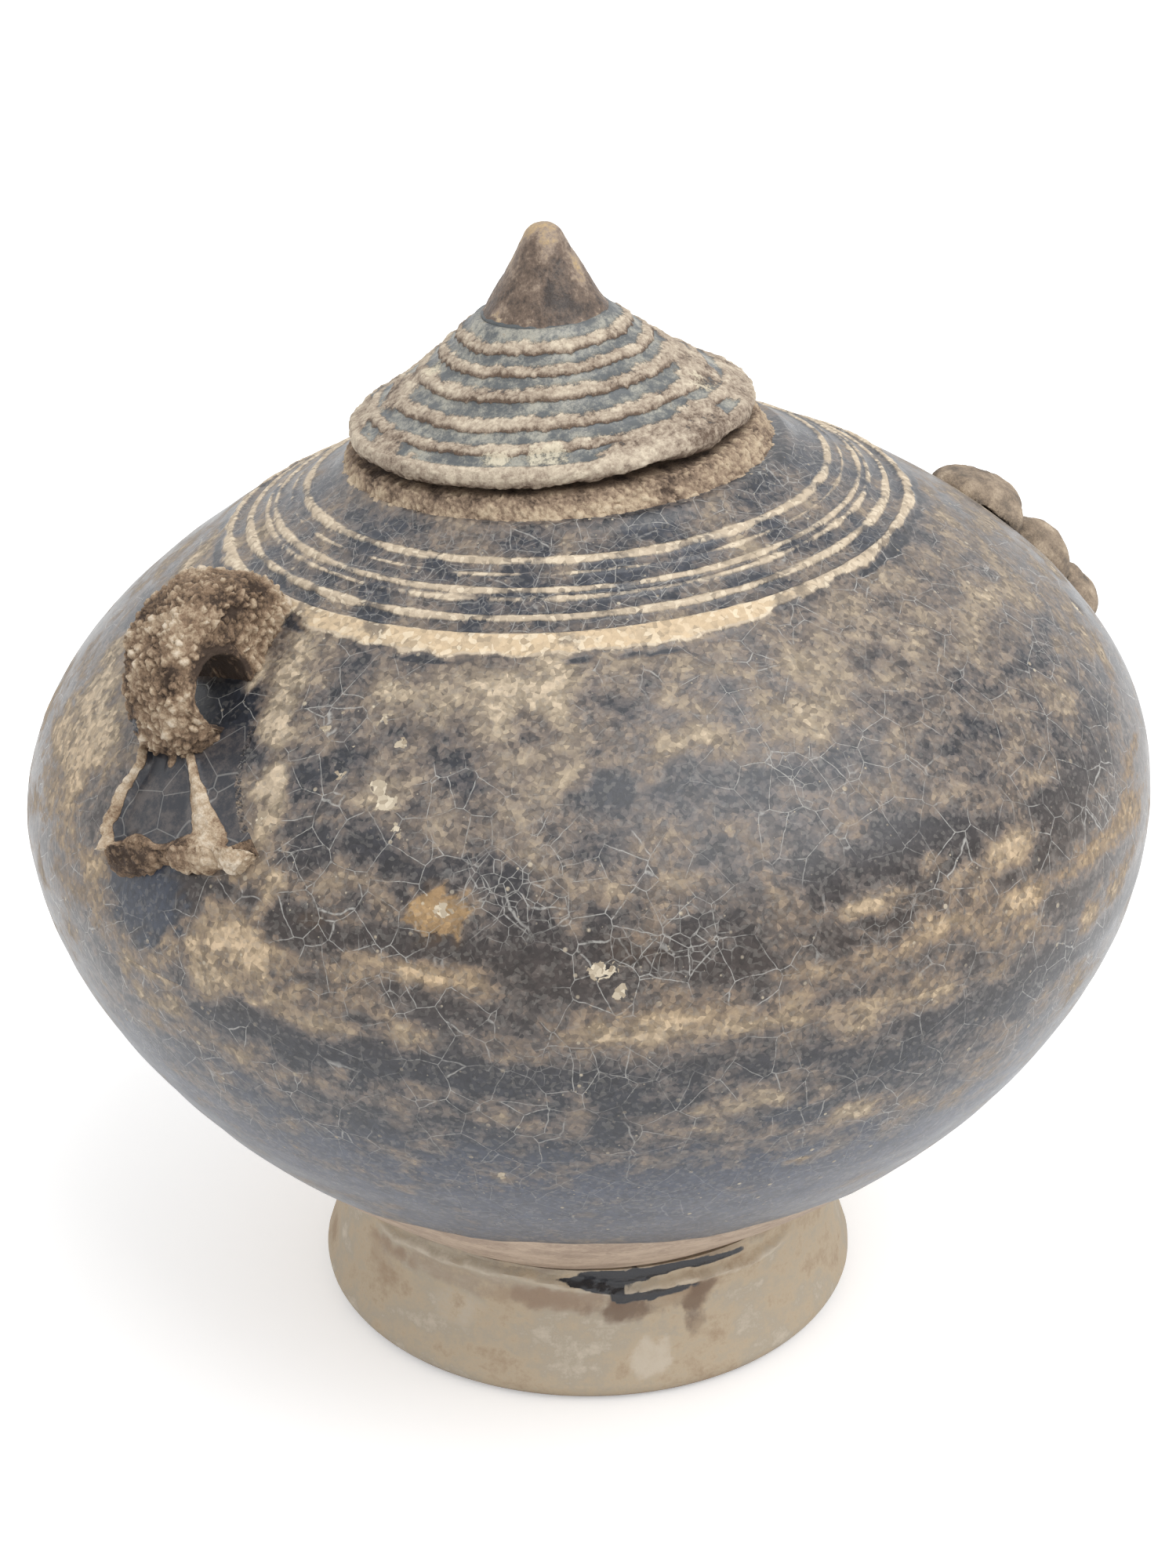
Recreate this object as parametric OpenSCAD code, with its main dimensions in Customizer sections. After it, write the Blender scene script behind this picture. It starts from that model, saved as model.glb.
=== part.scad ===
// Small stoneware lime pot: a squat thrown body on a low foot, an animal's pierced head and
// lobed tail pressed on to its shoulder, and a loose conical lid that lifts off.
// Millimetres, +Z up. The origin is the middle of the foot's resting face.
// The head is on -X, and the tail is near +X.

/* [Body] */
// Greatest width of the body
body_d = 110; // [98:1:122]
// Height of the widest ring above the ground
equator_h = 57; // [50:0.5:64]
// Thickness of the thrown wall
wall = 5.5; // [4:0.25:7]
// Angle above level at which the bowl leaves the foot
bowl_angle = 38.5; // [32:0.5:45]
// How far the bowl keeps near that angle
bowl_reach = 14.4; // [11:0.2:18]
// How far the bowl stays upright below the widest ring
bowl_full = 18.5; // [14:0.5:22]
// Height of the shoulder's flat top above the widest ring
shoulder_rise = 33.6; // [29:0.2:38]
// Slope of the shoulder where it meets its flat top
shoulder_slope = 26.5; // [20:0.5:32]
// How far the shoulder keeps near that slope
shoulder_reach = 20; // [16:0.2:24]
// How far the shoulder stays upright above the widest ring
shoulder_full = 14.4; // [11:0.2:18]

/* [Lean] */
// Tilt of the upper half, as it was joined on
lean = 3.6; // [0:0.1:5]
// Direction of that lean, round from +X
lean_dir = 142; // [0:1:360]
// Distance of the mouth's centre from the shoulder's axis
mouth_shift = 1; // [0:0.1:2]
// Further tilt of the mouth's rim and the lid
mouth_tip = 1.4; // [0:0.1:3]

/* [Shoulder grooves] */
// Number of turned grooves
groove_count = 4; // [2:1:5]
// Distance between grooves
groove_pitch = 2.7; // [2.5:0.1:3.2]
// Distance of the first groove's middle from the shoulder's flat top
groove_start = 3; // [2:0.1:4]
// Radius of the tool's round nose
groove_r = 2.2; // [1.6:0.1:2.6]
// Depth of the grooves
groove_depth = 0.35; // [0.2:0.05:0.5]

/* [Foot] */
// Width of the foot where it stands
foot_d = 55.8; // [50:0.2:62]
// Width of the foot under the bowl
foot_top_d = 50; // [44:0.5:54]
// Height of the foot
foot_h = 14; // [9:0.5:18]
// Rounding of the foot's lower edge
foot_edge = 2; // [1:0.25:3]

/* [Mouth] */
// Width of the open mouth
mouth_d = 23; // [18:0.5:26]
// Width of the collar round the mouth
collar_d = 39.6; // [36:0.2:44]
// Height of the collar at its middle
collar_h = 2; // [1.4:0.1:3.2]
// Rounding of the collar's upper edge
collar_edge = 1.1; // [0.5:0.1:1.5]

/* [Lid] */
// How far the lid's edge stays inside the collar's
lid_inset = 0.5; // [0:0.1:1]
// Gap between the lid and the collar
lid_gap = 0.3; // [0.2:0.05:0.5]
// Thickness of the lid's round edge
lid_rim = 2.4; // [2:0.1:3.5]
// Height of the lid up to its knob
lid_rise = 11.1; // [8:0.1:13]
// How far the lid's side sags below a straight cone
lid_sag = 0.8; // [0:0.1:2]
// Number of turned ridges on the lid
ridge_count = 6; // [3:1:7]
// Radius of a ridge
ridge_r = 0.55; // [0.4:0.05:0.8]
// Depth of the flange under the lid
flange_h = 5; // [3:0.25:7]
// Thickness of the flange
flange_wall = 3; // [2:0.25:4]
// Gap between the flange and the mouth
flange_gap = 0.8; // [0.5:0.05:1.2]

/* [Knob] */
// Width of the knob's base
knob_d = 13; // [10:0.2:16]
// Height of the knob
knob_h = 8.3; // [6:0.1:11]
// Radius of its worn point
knob_tip_r = 2; // [1:0.1:2.6]
// How far the knob leans back towards upright
knob_lean = 3; // [0:0.5:6]
// Distance of the knob's foot from the lid's axis
knob_shift = 0.4; // [0:0.1:0.8]

/* [Head] */
// Direction of the head, round from +X
head_dir = 180; // [170:1:190]
// Place on the shoulder's curve, 0 at the widest ring and 1 at the flat top
head_at = 0.618; // [0.56:0.002:0.66]
// Turn of the head and trunk on the wall
head_slant = 16; // [0:1:24]
// Radius of the head's round outline
head_r = 9.2; // [8:0.1:10]
// Thickness of the head across the hole
head_w = 9; // [8:0.25:11]
// Rounding of the head's edge
head_edge = 3; // [2.4:0.1:3.6]
// Width of the cord hole
eye_d = 4.8; // [3.6:0.1:5.6]
// Clay left under the cord hole
eye_floor = 0.5; // [0.4:0.05:1]
// Distance of the cord hole down the slope from the head's middle
eye_off = 2.7; // [0:0.1:3.2]

/* [Trunk] */
// Turn of the trunk from the head, round the pot
trunk_turn = 8.5; // [5:0.5:12]
// Place of the trunk's middle on the shoulder's curve
trunk_at = 0.395; // [0.37:0.005:0.42]
// Length of the trunk
trunk_l = 9.4; // [8:0.2:11]
// Width of the trunk where it leaves the head
trunk_top_w = 9; // [7:0.25:11]
// Width of the trunk's spread end
trunk_end_w = 17; // [14:0.25:19]
// Thickness of the trunk on the wall
trunk_t = 2.2; // [1.6:0.1:3]
// Thickness of the roll along the trunk's end
roll_d = 4.6; // [4:0.1:5.4]

/* [Tail] */
// Direction of the tail, round from +X
tail_dir = -13; // [-25:1:10]
// Width of the lobe at the tail's root
root_d = 12; // [11:0.2:13]
// Height of the root lobe above the wall
root_h = 3.2; // [2.8:0.1:4]
// Place of the root lobe on the shoulder's curve
root_at = 0.483; // [0.46:0.002:0.5]
// Width of the middle lobe
middle_d = 9.6; // [8.6:0.2:11]
// Height of the middle lobe
middle_h = 3.8; // [3.2:0.1:4.4]
// Place of the middle lobe
middle_at = 0.275; // [0.26:0.002:0.29]
// Width of the lobe at the tail's tip
tip_d = 9; // [8:0.2:10]
// Height of the tip lobe
tip_h = 4.6; // [3.8:0.1:5]
// Place of the tip lobe
tip_at = 0.12; // [0.11:0.002:0.13]

/* [Hidden] */
$fn = 96;

// Straight steps along each curved side
side_steps = 20;
lid_steps = 8;
trunk_steps = 6;

body_r = body_d / 2;
foot_r = foot_d / 2;
foot_top_r = foot_top_d / 2;
mouth_r = mouth_d / 2;
collar_r = collar_d / 2;
lid_r = collar_r - lid_inset;
knob_r = knob_d / 2;
// The knob's foot stays on the lid's flat top
knob_foot_r = knob_r - knob_shift;
flange_r = mouth_r - flange_gap;
eye_r = eye_d / 2;
roll_r = roll_d / 2;

// The flat top takes the collar wherever the mouth's centre has moved to
seat_r = collar_r + mouth_shift;
// The bowl's wall runs on past the widest ring, to be cut by the leaning joint
joint_over = body_r * sin(lean) + wall;
// The collar runs down past its tilted seat, to be cut by it
collar_drop = collar_r * sin(mouth_tip) + wall / 2;
// The mouth is cut this far into the shoulder, and as far above the collar
mouth_cut = 3 * wall;
lid_base = collar_h + lid_gap;

bowl_curve = [
    [foot_top_r, foot_h],
    [foot_top_r + bowl_reach * cos(bowl_angle), foot_h + bowl_reach * sin(bowl_angle)],
    [body_r, equator_h - bowl_full],
    [body_r, equator_h]
];
shoulder_curve = [
    [body_r, 0],
    [body_r, shoulder_full],
    [seat_r + shoulder_reach * cos(shoulder_slope), shoulder_rise - shoulder_reach * sin(shoulder_slope)],
    [seat_r, shoulder_rise]
];
// The lid's side sags in the middle of its run from the edge to the knob
lid_edge_in = lid_r - lid_rim / 2;
lid_curve = [
    [lid_edge_in, lid_rim],
    [lid_edge_in + (knob_r - lid_edge_in) / 3, lid_rim + (lid_rise - lid_rim) / 3 - lid_sag],
    [lid_edge_in + (knob_r - lid_edge_in) * 2 / 3, lid_rim + (lid_rise - lid_rim) * 2 / 3 - lid_sag],
    [knob_r, lid_rise]
];

// Point on a curve that is drawn by its two ends and two handles
function along(c, t) =
    let (s = 1 - t)
    s * s * s * c[0] + 3 * s * s * t * c[1] + 3 * s * t * t * c[2] + t * t * t * c[3];
// Direction of travel at that point
function heading(c, t) =
    let (s = 1 - t)
    s * s * (c[1] - c[0]) + 2 * s * t * (c[2] - c[1]) + t * t * (c[3] - c[2]);
// Outward direction, square to the curve
function outward(c, t) =
    let (d = heading(c, t))
    [d[1], -d[0]] / norm(d);
// Points along the outside of a curve, or a piece's thickness outside it
function outer_side(c, steps, t = 0) =
    [for (i = [0 : steps]) along(c, i / steps) + t * outward(c, i / steps)];
function inner_side(c, steps) =
    [for (i = [steps : -1 : 0]) along(c, i / steps) - wall * outward(c, i / steps)];

bowl_outside = concat(outer_side(bowl_curve, side_steps), [[body_r, equator_h + joint_over]]);
bowl_inside = concat([[body_r - wall, equator_h + joint_over]], inner_side(bowl_curve, side_steps));
bowl_floor = bowl_inside[len(bowl_inside) - 1][1];
shoulder_outside = outer_side(shoulder_curve, side_steps);
shoulder_inside = inner_side(shoulder_curve, side_steps);

// The upper half stands on an axis that leans from the middle of the widest ring
module leaned() {
    translate([0, 0, equator_h])
        rotate([0, 0, lean_dir])
            rotate([0, lean, 0])
                rotate([0, 0, -lean_dir])
                    children();
}

module at_mouth() {
    leaned()
        rotate([0, 0, lean_dir])
            translate([mouth_shift, 0, shoulder_rise])
                rotate([0, mouth_tip, 0])
                    children();
}

module at_lid() {
    at_mouth()
        translate([0, 0, lid_base])
            children();
}

// Stands a piece on the shoulder: its own Z points out of the wall, its own X down the slope
module on_shoulder(dir, at, slant = 0) {
    place = along(shoulder_curve, at);
    out = outward(shoulder_curve, at);
    leaned()
        rotate([0, 0, dir])
            translate([place[0], 0, place[1]])
                rotate([0, atan2(out[0], out[1]), 0])
                    rotate([0, 0, slant])
                        children();
}

// Keeps what lies below the joint between bowl and shoulder
module below_joint() {
    difference() {
        children();
        leaned()
            translate([-body_d, -body_d, 0])
                cube([2 * body_d, 2 * body_d, body_d]);
    }
}

// The body as if it were full, which shapes the back of each piece that is pressed on to it
module body_solid() {
    leaned()
        rotate_extrude()
            polygon(concat(shoulder_outside, [[0, shoulder_rise], [0, 0]]));
    below_joint()
        rotate_extrude()
            polygon(concat(bowl_outside, [[0, equator_h + joint_over], [0, foot_h]]));
}

module mouth_hole() {
    at_mouth()
        translate([0, 0, -mouth_cut])
            cylinder(r = mouth_r, h = collar_h + 2 * mouth_cut);
}

module bowl() {
    color("#3b3733")
        below_joint()
            rotate_extrude()
                polygon(concat(bowl_outside, bowl_inside, [[0, bowl_floor], [0, foot_h]]));
}

module shoulder() {
    top_inside = shoulder_inside[0][1];
    color("#4a3f33")
        difference() {
            leaned()
                rotate_extrude()
                    polygon(concat(shoulder_outside, [[0, shoulder_rise], [0, top_inside]], shoulder_inside));
            shoulder_grooves();
            mouth_hole();
        }
}

// Wide shallow grooves with sharp ridges between them, down the shoulder from its flat top,
// where the curve runs at three times its handle's length
module shoulder_grooves() {
    for (i = [0 : groove_count - 1]) {
        at = 1 - (groove_start + i * groove_pitch) / (3 * shoulder_reach);
        middle = along(shoulder_curve, at) + (groove_r - groove_depth) * outward(shoulder_curve, at);
        leaned()
            rotate_extrude()
                translate(middle)
                    circle(r = groove_r);
    }
}

module foot() {
    color("#b9aa90")
        rotate_extrude() {
            polygon([
                [0, 0], [foot_r - foot_edge, 0], [foot_r - foot_edge, foot_edge],
                [foot_r, foot_edge], [foot_top_r, foot_h], [0, foot_h]
            ]);
            translate([foot_r - foot_edge, foot_edge])
                circle(r = foot_edge);
        }
}

module mouth_collar() {
    color("#6f5a42")
        difference() {
            at_mouth()
                rotate_extrude() {
                    translate([0, -collar_drop])
                        square([collar_r, collar_drop + collar_h - collar_edge]);
                    square([collar_r - collar_edge, collar_h]);
                    translate([collar_r - collar_edge, collar_h - collar_edge])
                        circle(r = collar_edge);
                }
            mouth_hole();
            leaned()
                translate([-body_d, -body_d, shoulder_rise - body_d])
                    cube([2 * body_d, 2 * body_d, body_d]);
        }
}

module lid() {
    color("#6b5a45")
        at_lid()
            rotate_extrude() {
                polygon(concat(
                    [[0, 0], [lid_edge_in, 0]],
                    outer_side(lid_curve, lid_steps),
                    [[0, lid_rise]]
                ));
                translate([lid_edge_in, lid_rim / 2])
                    circle(r = lid_rim / 2);
                for (i = [1 : ridge_count])
                    translate(along(lid_curve, i / (ridge_count + 1)))
                        circle(r = ridge_r);
            }
}

// The knob is set on out of line with the lid, so its foot is cut level with the lid's top
module lid_knob() {
    tip_z = knob_h - knob_tip_r;
    knob_drop = 2 * knob_r * sin(knob_lean);
    color("#5e4630")
        at_lid()
            translate([0, 0, lid_rise])
                difference() {
                    translate([-knob_shift, 0, 0])
                        rotate([0, -knob_lean, 0])
                            rotate_extrude() {
                                polygon([
                                    [0, -knob_drop], [knob_foot_r, -knob_drop], [knob_foot_r, 0],
                                    [knob_tip_r, tip_z], [0, tip_z]
                                ]);
                                intersection() {
                                    translate([0, tip_z])
                                        circle(r = knob_tip_r);
                                    square([knob_r, knob_h]);
                                }
                            }
                    translate([-knob_d, -knob_d, -knob_d])
                        cube([2 * knob_d, 2 * knob_d, knob_d]);
                }
}

module lid_flange() {
    color("#8a7a62")
        at_lid()
            rotate_extrude()
                translate([flange_r - flange_wall, -flange_h])
                    square([flange_wall, flange_h]);
}

// A thick disc with rounded edges, standing on its edge
module head_disc() {
    on_shoulder(head_dir, head_at, head_slant)
        rotate([90, 0, 0])
            rotate_extrude() {
                translate([0, -head_w / 2])
                    square([head_r - head_edge, head_w]);
                translate([0, head_edge - head_w / 2])
                    square([head_r, head_w - 2 * head_edge]);
                for (side = [-1, 1])
                    translate([head_r - head_edge, side * (head_w / 2 - head_edge)])
                        circle(r = head_edge);
            }
}

module head_lug() {
    color("#8a6c48")
        difference() {
            head_disc();
            body_solid();
            on_shoulder(head_dir, head_at, head_slant)
                translate([eye_off, 0, eye_r + eye_floor])
                    rotate([90, 0, 0])
                        cylinder(r = eye_r, h = 2 * head_w, center = true);
        }
}

// The trunk spreads ever faster towards its end
function trunk_edge(t) = [
    trunk_l * (t - 1 / 2),
    (trunk_top_w + (trunk_end_w - trunk_top_w) * t * t) / 2
];

// The trunk's outline, as thick as the trunk all over the shoulder's curve
module trunk_slab() {
    edge = [for (i = [0 : trunk_steps]) trunk_edge(i / trunk_steps)];
    skin = outer_side(shoulder_curve, side_steps, trunk_t);
    intersection() {
        on_shoulder(head_dir + trunk_turn, trunk_at, head_slant)
            translate([0, 0, -wall])
                linear_extrude(2 * wall)
                    polygon(concat(edge, [for (i = [trunk_steps : -1 : 0]) [edge[i][0], -edge[i][1]]]));
        leaned()
            rotate_extrude()
                polygon(concat(skin, [[0, skin[side_steps][1]], [0, 0]]));
    }
}

module trunk() {
    color("#4f463c")
        difference() {
            trunk_slab();
            body_solid();
            head_disc();
        }
}

// Half of a round roll, laid against the trunk's end
module trunk_roll() {
    roll_l = trunk_end_w - roll_d;
    color("#7a6044")
        difference() {
            on_shoulder(head_dir + trunk_turn, trunk_at, head_slant)
                translate([trunk_l / 2, 0, 0])
                    difference() {
                        union() {
                            rotate([90, 0, 0])
                                cylinder(r = roll_r, h = roll_l, center = true);
                            for (side = [-1, 1])
                                translate([0, side * roll_l / 2, 0])
                                    sphere(r = roll_r);
                        }
                        translate([-roll_d, -trunk_end_w, -roll_d])
                            cube([roll_d, 2 * trunk_end_w, 2 * roll_d]);
                    }
            body_solid();
        }
}

module tail_lobe(d, h, at) {
    on_shoulder(tail_dir, at)
        translate([0, 0, h - d / 2])
            sphere(d = d);
}

module tail_root() {
    color("#7d6850")
        difference() {
            tail_lobe(root_d, root_h, root_at);
            body_solid();
        }
}

module tail_middle() {
    color("#776149")
        difference() {
            tail_lobe(middle_d, middle_h, middle_at);
            body_solid();
            tail_lobe(root_d, root_h, root_at);
        }
}

module tail_tip() {
    color("#715b45")
        difference() {
            tail_lobe(tip_d, tip_h, tip_at);
            body_solid();
            tail_lobe(middle_d, middle_h, middle_at);
        }
}

bowl();
shoulder();
foot();
mouth_collar();
lid();
lid_knob();
lid_flange();
head_lug();
trunk();
trunk_roll();
tail_root();
tail_middle();
tail_tip();
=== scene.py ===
import math
import random
from functools import partial

import bmesh
import bpy
from mathutils import Matrix, Vector, noise
from mathutils.bvhtree import BVHTree
from mathutils.geometry import interpolate_bezier
from mathutils.kdtree import KDTree


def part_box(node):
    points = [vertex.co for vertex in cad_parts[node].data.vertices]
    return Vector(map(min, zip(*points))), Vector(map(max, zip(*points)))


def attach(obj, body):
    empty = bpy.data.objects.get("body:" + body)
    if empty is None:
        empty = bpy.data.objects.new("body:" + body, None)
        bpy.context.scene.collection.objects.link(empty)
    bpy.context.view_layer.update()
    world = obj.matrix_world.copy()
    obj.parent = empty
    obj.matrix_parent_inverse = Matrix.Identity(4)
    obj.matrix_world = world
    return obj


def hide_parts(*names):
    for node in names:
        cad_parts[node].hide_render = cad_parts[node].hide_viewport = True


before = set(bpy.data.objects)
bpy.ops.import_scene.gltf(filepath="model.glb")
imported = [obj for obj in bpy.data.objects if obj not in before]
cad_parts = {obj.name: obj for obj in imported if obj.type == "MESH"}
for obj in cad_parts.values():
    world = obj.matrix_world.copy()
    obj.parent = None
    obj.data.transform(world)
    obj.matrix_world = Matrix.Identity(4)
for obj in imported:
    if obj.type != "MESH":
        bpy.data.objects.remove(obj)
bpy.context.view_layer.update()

mm = 0.001
seed = 41
dice = random.Random(seed)
noise.seed_set(seed)


# small helpers for shapes

def ease(low, high, value):
    share = min(max((value - low) / (high - low), 0.0), 1.0)
    return share * share * (3 - 2 * share)


def hump(distance, half):
    return ease(half, 0.0, abs(distance))


def grit(place, size, octaves=3):
    return noise.fractal(place / (size * mm), 0.9, 2.1, octaves)  # size in millimetres


def crumbs(place, size):
    # 0 in the pits between grains, up to 1 on the grains, each of its own height
    place = place / (size * mm)
    gaps, grains = noise.voronoi(place + 0.5 * noise.noise_vector(1.3 * place))
    return (0.7 + 0.5 * noise.noise(3.1 * grains[0])) * ease(0.02, 0.45, gaps[1] - gaps[0])


def between(knots, x):
    # a smooth curve through (x, value) knots
    for (x0, y0), (x1, y1) in zip(knots, knots[1:]):
        if x <= x1:
            return y0 + (y1 - y0) * ease(x0, x1, x)
    return knots[-1][1]


def turnOf(place):
    return math.degrees(math.atan2(place.y, place.x)) % 360


def turnGap(a, b):
    return (a - b + 180) % 360 - 180


def heading(turn):
    return Vector((math.cos(math.radians(turn)), math.sin(math.radians(turn)), 0))


def roundNoise(turn, size, layer):
    # noise that closes on itself round the axis
    a = math.radians(turn)
    return noise.noise(Vector((size * math.cos(a), size * math.sin(a), layer)))


def tipped(angle, axis):
    return Matrix.Rotation(math.radians(angle), 4, axis)


walkPoints = 3000


def walk(curve, step, side=1):
    # rows along a Bezier curve, step(point) apart, with the normal on its left
    fine = interpolate_bezier(*[Vector((x, 0, z)) for x, z in curve], walkPoints)
    rows = [0]
    for i, point in enumerate(fine):
        if (point - fine[rows[-1]]).length >= step(point):
            rows.append(i)
    if (fine[-1] - fine[rows[-1]]).length < 0.5 * step(fine[-1]):
        rows.pop()
    rows.append(len(fine) - 1)
    found = []
    for i in rows:
        along = fine[min(i + 1, len(fine) - 1)] - fine[max(i - 1, 0)]
        found.append((fine[i], Vector((along.z, 0, -along.x)).normalized(), side))
    return found


def plain(points, side=0, normal=(0, 0, 1)):
    return [(Vector((x, 0, z)), Vector(normal), side) for x, z in points]


def paintLayers(bm, *names):
    return [bm.verts.layers.float.new(name) for name in names]


def turnedLayers(bm, *names):
    # what spinRows left on the points, then new layers for the material to read
    return [bm.verts.layers.float_vector["out"], bm.verts.layers.float["skin"]] + paintLayers(bm, *names)


def spinRows(rows, steps):
    # rows are (place, normal, skin): skin 1 is the outside that gets the detail
    bm = bmesh.new()
    out = bm.verts.layers.float_vector.new("out")
    skin = bm.verts.layers.float.new("skin")
    ring = []
    for place, normal, side in rows:
        v = bm.verts.new(place)
        v[out], v[skin] = normal, side
        ring.append(v)
    edges = [bm.edges.new(pair) for pair in zip(ring, ring[1:])]
    # an eighth is spun and then doubled three times, which is much quicker than a full spin
    angle = math.pi / 4
    bmesh.ops.spin(bm, geom=ring + edges, cent=(0, 0, 0), axis=(0, 0, 1), angle=angle, steps=steps // 8)
    while angle < 1.9 * math.pi:
        copy = bmesh.ops.duplicate(bm, geom=bm.verts[:] + bm.edges[:] + bm.faces[:])["geom"]
        bmesh.ops.rotate(bm, cent=(0, 0, 0), matrix=Matrix.Rotation(angle, 3, "Z"),
                         verts=[g for g in copy if isinstance(g, bmesh.types.BMVert)])
        angle *= 2
    bmesh.ops.remove_doubles(bm, verts=bm.verts, dist=2e-6)
    bmesh.ops.recalc_face_normals(bm, faces=bm.faces)
    return bm


def outwards(v, layer):
    turn = math.atan2(v.co.y, v.co.x)
    flat = v[layer]
    return Vector((flat.x * math.cos(turn), flat.x * math.sin(turn), flat.z))


def meshOf(bm, name):
    mesh = bpy.data.meshes.new(name)
    bm.to_mesh(mesh)
    bm.free()
    return mesh


def addObject(name, data):
    thing = bpy.data.objects.new(name, data)
    bpy.context.scene.collection.objects.link(thing)
    return thing


def finishPiece(name, bm, body, node, materials, sharp=40):
    for layer in ("out", "skin"):
        for kind in (bm.verts.layers.float_vector, bm.verts.layers.float):
            if layer in kind:
                kind.remove(kind[layer])
    mesh = meshOf(bm, name)
    piece = addObject(name, mesh)
    for material in materials:
        mesh.materials.append(material)
    mesh.shade_smooth()
    if sharp:
        mesh.set_sharp_from_angle(angle=math.radians(sharp))
    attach(piece, body)
    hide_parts(node)
    print("piece", name, len(mesh.vertices), "points")
    return piece


# small helpers for materials

def paint(red, green, blue):
    # a colour given in screen values, made linear
    def line(c):
        c /= 255
        return c / 12.92 if c <= 0.04045 else ((c + 0.055) / 1.055) ** 2.4
    return line(red), line(green), line(blue), 1.0


inHand = {}  # the node tree that is being wired


def put(kind, sockets=None, **settings):
    tree = inHand["tree"]
    node = tree.nodes.new("ShaderNode" + kind)
    for name, value in settings.items():
        setattr(node, name, value)
    for key, value in (sockets or {}).items():
        if isinstance(value, bpy.types.NodeSocket):
            tree.links.new(value, node.inputs[key])
        else:
            node.inputs[key].default_value = value
    return node


def calc(what, *values, clamp=False):
    return put("Math", dict(enumerate(values)), operation=what, use_clamp=clamp).outputs[0]


plus, times, most, scaled = [partial(calc, what) for what in ("ADD", "MULTIPLY", "MAXIMUM", "MULTIPLY_ADD")]


def fade(value, low, high):
    return put("MapRange", {"Value": value, "From Min": low, "From Max": high},
               interpolation_type="SMOOTHSTEP").outputs[0]


def tint(share, under, over):
    return put("Mix", {0: share, 6: under, 7: over}, data_type="RGBA").outputs[2]


def ramp(value, stops):
    node = put("ValToRGB", {"Fac": value})
    band = node.color_ramp.elements
    for i, (place, colour) in enumerate(stops):
        stop = band[i] if i < 2 else band.new(place)
        stop.position, stop.color = place, colour
    return node.outputs[0]


def cloud(coords, size, detail=3.0, rough=0.6):
    sockets = {"Vector": coords, "Scale": 1 / size, "Detail": detail, "Roughness": rough}
    return put("TexNoise", sockets).outputs["Fac"]


def cells(coords, size, feature="F1"):
    return put("TexVoronoi", {"Vector": coords, "Scale": 1 / size}, feature=feature)


def cellShade(coords, size, channel=0):
    # every cell has a random value of its own
    return put("SeparateColor", {0: cells(coords, size).outputs["Color"]}).outputs[channel]


def stretch(coords, *scale):
    return put("Mapping", {"Vector": coords, "Scale": scale}).outputs[0]


def brighten(colour, share):
    return put("VectorMath", {0: colour, "Scale": share}, operation="SCALE").outputs[0]


def vary(*layers):
    # a sum of (texture, strength) with each texture centred on zero
    total = None
    for value, strength in layers:
        part = scaled(value, strength, -0.5 * strength)
        total = part if total is None else plus(total, part)
    return total


def own(name):
    return put("Attribute", attribute_name=name).outputs["Fac"]


def patchy(name, low, high, *layers):
    # a painted mark whose edge is broken up by textures
    return fade(plus(own(name), vary(*layers)), low, high)


def startMaterial(name):
    material = bpy.data.materials.new(name)
    material.use_nodes = True
    inHand["tree"] = material.node_tree
    shader = material.node_tree.nodes["Principled BSDF"]
    return material, shader, put("TexCoord").outputs["Object"]


def finishMaterial(shader, colour, rough, height, depth, strength=1.0):
    bump = put("Bump", {"Height": height, "Distance": depth, "Strength": strength})
    for socket, source in (("Base Color", colour), ("Roughness", rough), ("Normal", bump.outputs[0])):
        inHand["tree"].links.new(source, shader.inputs[socket])


# glazes and clays

# the pale blue-grey beside the slate is painted reflection of the floor and sky, with some milky bloom of the
# glaze
glazeLook = dict(
    slate=paint(44, 46, 52), sheenAndBloom=paint(52, 59, 74), umber=paint(64, 50, 38), veil=paint(134, 130, 124),
    taupe=paint(80, 75, 74), brown=paint(106, 95, 86), ochre=paint(133, 120, 104), tan=paint(150, 136, 116),
    pale=paint(174, 158, 136), honey=paint(152, 122, 82), warm=(1.0, 0.86, 0.68, 1.0),
    line=paint(188, 172, 150), crust=paint(197, 175, 144), crackle=paint(170, 168, 163),
    cream=paint(206, 194, 172), bareDark=paint(148, 128, 111), bareLight=paint(184, 164, 144),
    band=20 * mm, flow=7.0, mottle=5 * mm, squash=1.4, grain=0.5 * mm, bend=0.7 * mm, bendScale=420.0,
    crackleCell=3.2 * mm, crackleDrift=12 * mm, flecks=[(1.7 * mm, 0.75), (0.8 * mm, 0.5)],  # size, strength
    roughGlaze=0.32, roughCrust=0.66, bump=0.1 * mm,
)


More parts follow.
